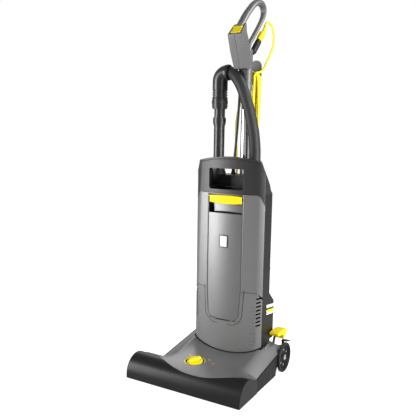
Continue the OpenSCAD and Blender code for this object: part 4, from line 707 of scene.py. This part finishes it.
# soft bag inside the body, with a crowned front and pulled-in seams
bag = {"half": 88, "low": 296, "high": 500, "front": -80, "back": -30}
lowBag, highBag = (-bag["half"], bag["front"], bag["low"]), (bag["half"], bag["back"], bag["high"])
bm = bmesh.new()
slab(bm, lowBag, highBag)
bmesh.ops.subdivide_edges(bm, edges=bm.edges, cuts=23, use_grid_fill=True)
middle, extent = (at(*lowBag) + at(*highBag)) / 2, (at(*highBag) - at(*lowBag)) / 2
for v in bm.verts:
    p = v.co - middle
    a, b, c = p.x / extent.x, p.y / extent.y, p.z / extent.z
    fat = (1 - abs(a) ** 3.2) ** 0.42 * (1 - abs(c) ** 4) ** 0.45 if abs(a) < 1 and abs(c) < 1 else 0
    p.y = extent.y * b * (0.12 + 0.86 * fat) + 0.0012 * sin(a * 9 + c * 4) * fat
    p.x *= 1 - 0.05 * (1 - abs(c)) * abs(a)
    p.z += 0.0015 * sin(a * 7) * abs(c)
    v.co = middle + p
bmesh.ops.smooth_vert(bm, verts=bm.verts, factor=0.5, use_axis_x=True, use_axis_y=True, use_axis_z=True)
bagPiece = setPiece("filterFleece", bm, bodyOf("filter_bag"), "bagCloth", ("filter_bag",), 180,
                    weighted=False)

# bristles on the brush roller
brush = {"rows": 2, "tufts": 18, "bristles": 9, "y": -254, "z": 24.6, "end": 184, "core": 168, "sweep": 300,
         "out": 0.0197, "long": 0.0085}
bm = lathe([(0, -brush["end"] - 6), (4, -brush["end"] - 6), (4, -brush["end"] + 3), (15.4, -brush["end"] + 3),
            (16, -brush["end"] + 3.6), (16, brush["core"] - 0.6), (15.4, brush["core"]), (14, brush["core"]),
            (14, 182), (4, 182), (4, brush["end"] + 6), (0, brush["end"] + 6)],
           at(0, brush["y"], brush["z"], headShift), (1, 0, 0), 48)
for row in range(brush["rows"]):
    for i in range(brush["tufts"]):
        x = -brush["end"] + 9 + i * (brush["core"] + brush["end"] - 18) / (brush["tufts"] - 1)
        a = pi * row + radians(i * brush["sweep"] / brush["tufts"])
        for n in range(brush["bristles"]):
            lean, around = random.uniform(-0.09, 0.09), random.uniform(-0.06, 0.06)
            spot = at(x + random.uniform(-2.2, 2.2), brush["y"], brush["z"], headShift)
            out = Matrix.Rotation(-a + around, 4, "X") @ Vector((lean, 0, 1)).normalized()
            stem = bmesh.ops.create_cone(bm, cap_ends=True, segments=5, radius1=0.00055, radius2=0.0003,
                                         depth=brush["long"])["verts"]
            place = Matrix.Translation(spot + out * brush["out"]) @ out.to_track_quat("Z", "Y").to_matrix().to_4x4()
            bmesh.ops.transform(bm, matrix=place, verts=stem)
setPiece("brushRoll", bm, "brush_roller", "softBlack", ("brush_roller",), 40)
print("bag and brush done")

# black sheets as painted shade on the walls of the latch's recess, the raised rim round the door and the lip of the
# cap
recess = {"half": 59.2, "low": 508, "high": 567.6, "deep": 14, "wall": 0.8}
bm = bmesh.new()
for side in (-1, 1):
    outer = door["x"] + side * recess["half"]
    left, right = sorted((outer, outer - side * recess["wall"]))
    for step in range(4):
        low = -recess["deep"] + step * (recess["deep"] - 1) / 4
        high = low + (recess["deep"] - 1) / 4 + 0.1
        slab(bm, (left, frontY(outer) - high, recess["low"]), (right, frontY(outer) - low, recess["high"]))
setPiece("recessShadeSides", bm, "upright", "linerBlack", weighted=False)


def faceRun(x0, x1, z, lift, count):           # points across the front face at one height
    return [at(x, frontY(x, lift), z) for x in [x0 + (x1 - x0) * i / count for i in range(count + 1)]]


def doorRun(grow, lift, top):                  # the door's outline, grown, from its upper left to its upper right
    side, r = door["half"] + grow, door["corner"] + grow
    spots = [(door["x"] - side, top), (door["x"] - side, door["taper"])]
    for centre, start in ((door["x"] - door["cornerX"], 180), (door["x"] + door["cornerX"], 270)):
        turns = [radians(start + 90 * i / 12) for i in range(13)]
        spots += [(centre + r * cos(a), door["cornerZ"] + r * sin(a)) for a in turns]
    spots += [(door["x"] + side, door["taper"]), (door["x"] + side, top)]
    return [at(x, frontY(x, lift), z) for x, z in spots]


def evenRun(points, gap):                      # the same run with no step longer than gap
    out = [points[0]]
    for a, b in zip(points, points[1:]):
        n = max(1, round((b - a).length / gap))
        out += [a.lerp(b, i / n) for i in range(1, n + 1)]
    return out


doorBead = {"grow": 3.1, "lift": 0.1, "top": 569, "r": 0.0012, "lowR": 0.0007, "below": 0.19, "sink": 0.0011}
rimRun = evenRun(doorRun(doorBead["grow"], doorBead["lift"], doorBead["top"]), 0.012)
rimSizes = [doorBead["r"] if p.z > doorBead["below"] else doorBead["lowR"] for p in rimRun]
rimRun = [p if p.z > doorBead["below"] else p + Vector((0, doorBead["sink"], 0)) for p in rimRun]
setPiece("doorRim", sweep(rimRun, rimSizes, 14), "upright", "shellGrey", weighted=False)

# black sheets as painted shade: on the ledge under the latch, and as a painted shadow under the plate, higher at its
# left end
ledge = {"half": 56.8, "z": 507.9, "front": -5.2, "back": -14.6, "thick": 0.0006}
plateShadow = {"half": 57, "low": 507, "high": 514.5, "bow": 4, "left": 538, "leftX": -52, "lift": -14.4, "thick": 0.0004}
bm = bmesh.new()
rows = [faceRun(door["x"] - ledge["half"], door["x"] + ledge["half"], ledge["z"], ledge[end], 24)
        for end in ("front", "back")]
facing(band(bm, *[[bm.verts.new(p) for p in row] for row in rows]), Vector((0, 0, 1)))
bmesh.ops.solidify(bm, geom=list(bm.faces), thickness=ledge["thick"])
lowRow, highRow = [], []
for i in range(31):
    x = door["x"] + plateShadow["half"] * (i / 15 - 1)
    arc = plateShadow["high"] - plateShadow["bow"] * ((x - door["x"]) / plateShadow["half"]) ** 2
    y = frontY(x, plateShadow["lift"])
    lowRow.append(bm.verts.new(at(x, y, plateShadow["low"])))
    highRow.append(bm.verts.new(at(x, y, plateShadow["left"] if x < plateShadow["leftX"] else arc)))
fresh = band(bm, lowRow, highRow)
facing(fresh, Vector((0, -1, 0)))
bmesh.ops.solidify(bm, geom=fresh, thickness=plateShadow["thick"])
setPiece("ledgeShadeSheets", bm, "bag_door", "linerBlack", weighted=False)

capLip = {"half": 104, "crest": 678, "bow": 832, "lift": 0.1, "r": 0.0014}
lipRun = [at(x, frontY(x, capLip["lift"]), capLip["crest"] - x * x / capLip["bow"])
          for x in [capLip["half"] * (i / 24 - 1) for i in range(49)]]
setPiece("capLip", sweep(lipRun, capLip["r"], 12), "upright", "capBlack", weighted=False)

seam = {"z": 267.3, "r": 0.0006, "spans": ((-107, -67.5), (57.5, 106))}
bm = bmesh.new()
for x0, x1 in seam["spans"]:
    sweep(faceRun(x0, x1, seam["z"], 0.0, 10), seam["r"], 8, bm)
setPiece("seamLine", bm, "upright", "linerBlack", weighted=False)

# dark strip as painted shade in the gap round the body, and a dark line as painted shade in the moulded crease round
# the door's lower end
gapShadeStrip = {"out": 1.9, "back": -25, "lift": 0.7, "r": 0.0017}
plan = bodyPlan(-gapShadeStrip["out"], gapShadeStrip["back"])
stripRun = evenRun([at(x, y, coverZ(x, y) + gapShadeStrip["lift"]) for x, y in plan], 0.008)
setPiece("gapShadeStrip", sweep(stripRun, gapShadeStrip["r"], 10), "base", "linerBlack", weighted=False)
# dark line: painted shade of the crease
crease = {"grow": 12, "lift": -0.1, "top": 258, "r": 0.0008}
creaseRun = evenRun(doorRun(crease["grow"], crease["lift"], crease["top"]), 0.012)
setPiece("creaseShadeLine", sweep(creaseRun, crease["r"], 8), "upright", "chassisBlack",
         weighted=False)

# elbow with relief slots in its foot, and the knurled coupling under it
elbow = {"x": -83, "y": 2, "foot": 868.3, "bendZ": 921, "bend": 27, "r": 24.5, "turn": 96, "bore": 16,
         "slots": (874, 882, 890), "slotDeep": 3, "neckR": 0.0246, "flareR": 0.0252, "lip": 0.0036}
profile = [(elbow["bore"], elbow["foot"]), (elbow["r"] - 0.8, elbow["foot"]), (elbow["r"], elbow["foot"] + 0.8)]
for z in elbow["slots"]:
    slotR = elbow["r"] - elbow["slotDeep"]
    profile += [(elbow["r"], z - 1.9), (elbow["r"] - 0.3, z - 1.6), (slotR, z - 1.6), (slotR, z + 1.6),
                (elbow["r"] - 0.3, z + 1.6), (elbow["r"], z + 1.9)]
profile += [(elbow["r"], elbow["bendZ"]), (elbow["bore"], elbow["bendZ"]), (elbow["bore"], elbow["foot"])]
bm = lathe(profile, at(elbow["x"], elbow["y"], 0), steps=64)
last = radians(elbow["turn"])
crook = [at(elbow["x"] + elbow["bend"] * (1 - cos(last * i / 20)), elbow["y"],
            elbow["bendZ"] + elbow["bend"] * sin(last * i / 20)) for i in range(21)]
crook.append(crook[-1] + (crook[-1] - crook[-2]).normalized() * elbow["lip"])
sweep(crook, [elbow["r"] / 1000] * 18 + [elbow["flareR"]] * 3 + [elbow["neckR"]], 56, bm)
setPiece("elbowTube", bm, "upright", "tubeBlack", ("elbow",), 40)
profile = [(18, 834), (23.4, 834), (24, 834.8), (24, 839.4), (25, 840.4), (25.5, 841.4), (25.5, 846), (24.7, 846.6),
           (24.7, 848.2), (25.5, 848.8), (25.5, 861), (24.7, 861.6), (24.7, 863.2), (25.5, 863.8), (25.5, 867),
           (24.8, 868), (18, 868), (18, 834)]
bm = lathe(profile, at(elbow["x"], elbow["y"], 0), steps=64)
ribs = {"count": 16, "ring": 25.1, "z": 855, "r": 0.0013, "long": 4}
for i in range(ribs["count"]):
    a = 2 * pi * (i + 0.5) / ribs["count"]
    foot = at(elbow["x"] + ribs["ring"] * cos(a), elbow["y"] + ribs["ring"] * sin(a), ribs["z"])
    rib = bmesh.ops.create_uvsphere(bm, u_segments=10, v_segments=8, radius=ribs["r"])["verts"]
    bmesh.ops.scale(bm, vec=(1, 1, ribs["long"]), verts=rib)
    bmesh.ops.translate(bm, vec=foot, verts=rib)
setPiece("couplingRing", bm, "upright", "tubeBlack", ("wand_coupling",), 40)

# plain plate on the door: dark frame and a light face
badge = {"z": 422.5, "wide": 30, "high": 40, "layers": ((0, 4.2, 1.6, 3, 16), (3.2, 4.6, 0.7, 1.2, 12))}


def bentPlate(bm, inset, lift, thick, corner, columns):                # rounded plate that follows the face
    made = bmesh.ops.create_grid(bm, x_segments=columns, y_segments=8, size=0.5)["verts"]
    wide, high = badge["wide"] - 2 * inset, badge["high"] - 2 * inset
    for v in made:
        px, pz = v.co.x * wide, v.co.y * high
        ox, oz = max(0, abs(px) - wide / 2 + corner), max(0, abs(pz) - high / 2 + corner)
        if ox > 0 and oz > 0 and hypot(ox, oz) > corner:
            pull = corner / hypot(ox, oz)
            px -= (ox - ox * pull) * (1 if px > 0 else -1)
            pz -= (oz - oz * pull) * (1 if pz > 0 else -1)
        v.co = at(door["x"] + px, frontY(door["x"] + px, lift), badge["z"] + pz)
    faces = list({f for v in made for f in v.link_faces})
    facing(faces, Vector((0, -1, 0)))
    bmesh.ops.solidify(bm, geom=faces, thickness=thick / 1000)


bm = bmesh.new()
for paint, layer in enumerate(badge["layers"]):
    known = set(bm.faces)
    bentPlate(bm, *layer)
    for face in set(bm.faces) - known:
        face.material_index = paint
setPiece("doorPlate", bm, "bag_door", ("printDark", "printWhite"), weighted=False)

# plain stripes on the right flank
stripes = {"x": 118.85, "thick": 0.0006, "quad": ((-33, 221), (23, 213), (26, 182), (-31, 188)),
           "bands": ((0, 0.3, 0), (0.3, 0.52, 1), (0.52, 0.8, 2), (0.8, 1, 0))}
bm = bmesh.new()
(ay, az), (by, bz), (cy, cz), (dy, dz) = stripes["quad"]
for top, low, paint in stripes["bands"]:
    spots = [(ay + (dy - ay) * top, az + (dz - az) * top), (by + (cy - by) * top, bz + (cz - bz) * top),
             (by + (cy - by) * low, bz + (cz - bz) * low), (ay + (dy - ay) * low, az + (dz - az) * low)]
    face = bm.faces.new([bm.verts.new(at(stripes["x"], y, z)) for y, z in spots])
    face.material_index = paint
facing(bm.faces, Vector((1, 0, 0)))
bmesh.ops.solidify(bm, geom=list(bm.faces), thickness=stripes["thick"])
setPiece("flankStripes", bm, "upright", ("printWhite", "printDark", "yellow"),
         weighted=False)
print("plates done")

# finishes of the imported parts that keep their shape
kept = {"sole_plate": "chassisBlack", "load_lamp": "lampOrange", "brush_motor": "motorSteel", "motor_pulley": "steel",
        "drive_belt": "softBlack", "brush_bearings": "ductGrey", "suction_duct": "ductGrey", "axle": "steel",
        "wheel_left": "linerBlack", "wheel_right": "linerBlack", "tyre_left": "tyreBlack",
        "tyre_right": "tyreBlack", "pedal_pin": "steel", "suction_motor": "motorSteel", "motor_seal": "softBlack",
        "exhaust_filter": "filterWhite", "motor_filter": "filterGrey", "bag_collar": "cardWhite",
        "riser_duct": "ductGrey", "wand_socket": "ductGrey", "hose_socket": "ductGrey", "door_pins": "steel",
        "latch_pin": "steel", "handle_pole": "chrome", "cord_inlet": "softBlack", "cord_connector": "yellow",
        "wand": "tubeBlack", "wand_collar": "tubeBlack", "hose_cuff": "softBlack", "screws": "darkSteel"}
for node, finish in kept.items():
    paintNode(node, finish)

# floor and backdrop: pale to the camera, and dimmer in what mirrors them
stage = {"half": 7.0, "floor": (0.4, 0.4, 0.4, 1), "rough": 0.6, "glossShare": 0.4, "glow": 0.93, "fill": 0.08}
bm = bmesh.new()
bmesh.ops.create_grid(bm, x_segments=1, y_segments=1, size=stage["half"])
mesh = bpy.data.meshes.new("floorSheet")
bm.to_mesh(mesh)
bm.free()
floorSheet = bpy.data.objects.new("floorSheet", mesh)
bpy.context.collection.objects.link(floorSheet)
pale = Finish("paleFloor")
mesh.materials.append(pale.feed(Base_Color=stage["floor"], Roughness=stage["rough"]))
seen = pale.ray("Camera").most(pale.ray("Glossy") * stage["glossShare"])
glow = pale.node("ShaderNodeEmission", None, {"Strength": seen * stage["glow"]})
both = pale.node("ShaderNodeAddShader", None, {0: Wire(pale, pale.shader.outputs[0]), 1: glow})
pale.fill(pale.tree.nodes["Material Output"], {"Surface": both})

world = bpy.data.worlds.new("studio")
bpy.context.scene.world = world
world.use_nodes = True
sky = Board(world.node_tree)
white, dim = (sky.node("ShaderNodeBackground", None, {"Color": (1, 1, 1, 1), "Strength": strength})
              for strength in (1.0, stage["fill"]))
share = sky.ray("Glossy").most(sky.ray("Transmission")) * stage["glossShare"] + sky.ray("Camera")
choose = sky.node("ShaderNodeMixShader", None, {0: share, 1: dim, 2: white})
sky.fill(sky.tree.nodes["World Output"], {"Surface": choose})


def hangLamp(name, place, aim, wide, tall, power):
    data = bpy.data.lights.new(name, "AREA")
    data.shape, data.size, data.size_y, data.energy = "RECTANGLE", wide, tall, power
    lamp = bpy.data.objects.new(name, data)
    turned = (Vector(aim) - Vector(place)).to_track_quat("-Z", "Y").to_matrix().to_4x4()
    lamp.matrix_world = Matrix.Translation(place) @ turned
    bpy.context.collection.objects.link(lamp)


hangLamp("keyLamp", (-1.5, -1.42, 0.72), (0, 0, 0.4), 0.9, 1.5, 56)
hangLamp("edgeLamp", (1.6, -1.05, 0.85), (0.1, 0, 0.55), 0.25, 1.6, 7)
hangLamp("flankLamp", (2.3, -0.2, 0.8), (0.1, 0, 0.5), 0.7, 1.4, 72)
hangLamp("topLamp", (1.0, 0.75, 1.9), (0.15, 0, 0.1), 0.7, 0.7, 16)
hangLamp("rimLamp", (-1.2, 1.6, 1.4), (0, 0, 0.6), 0.6, 1.2, 6)
print("stage lit")
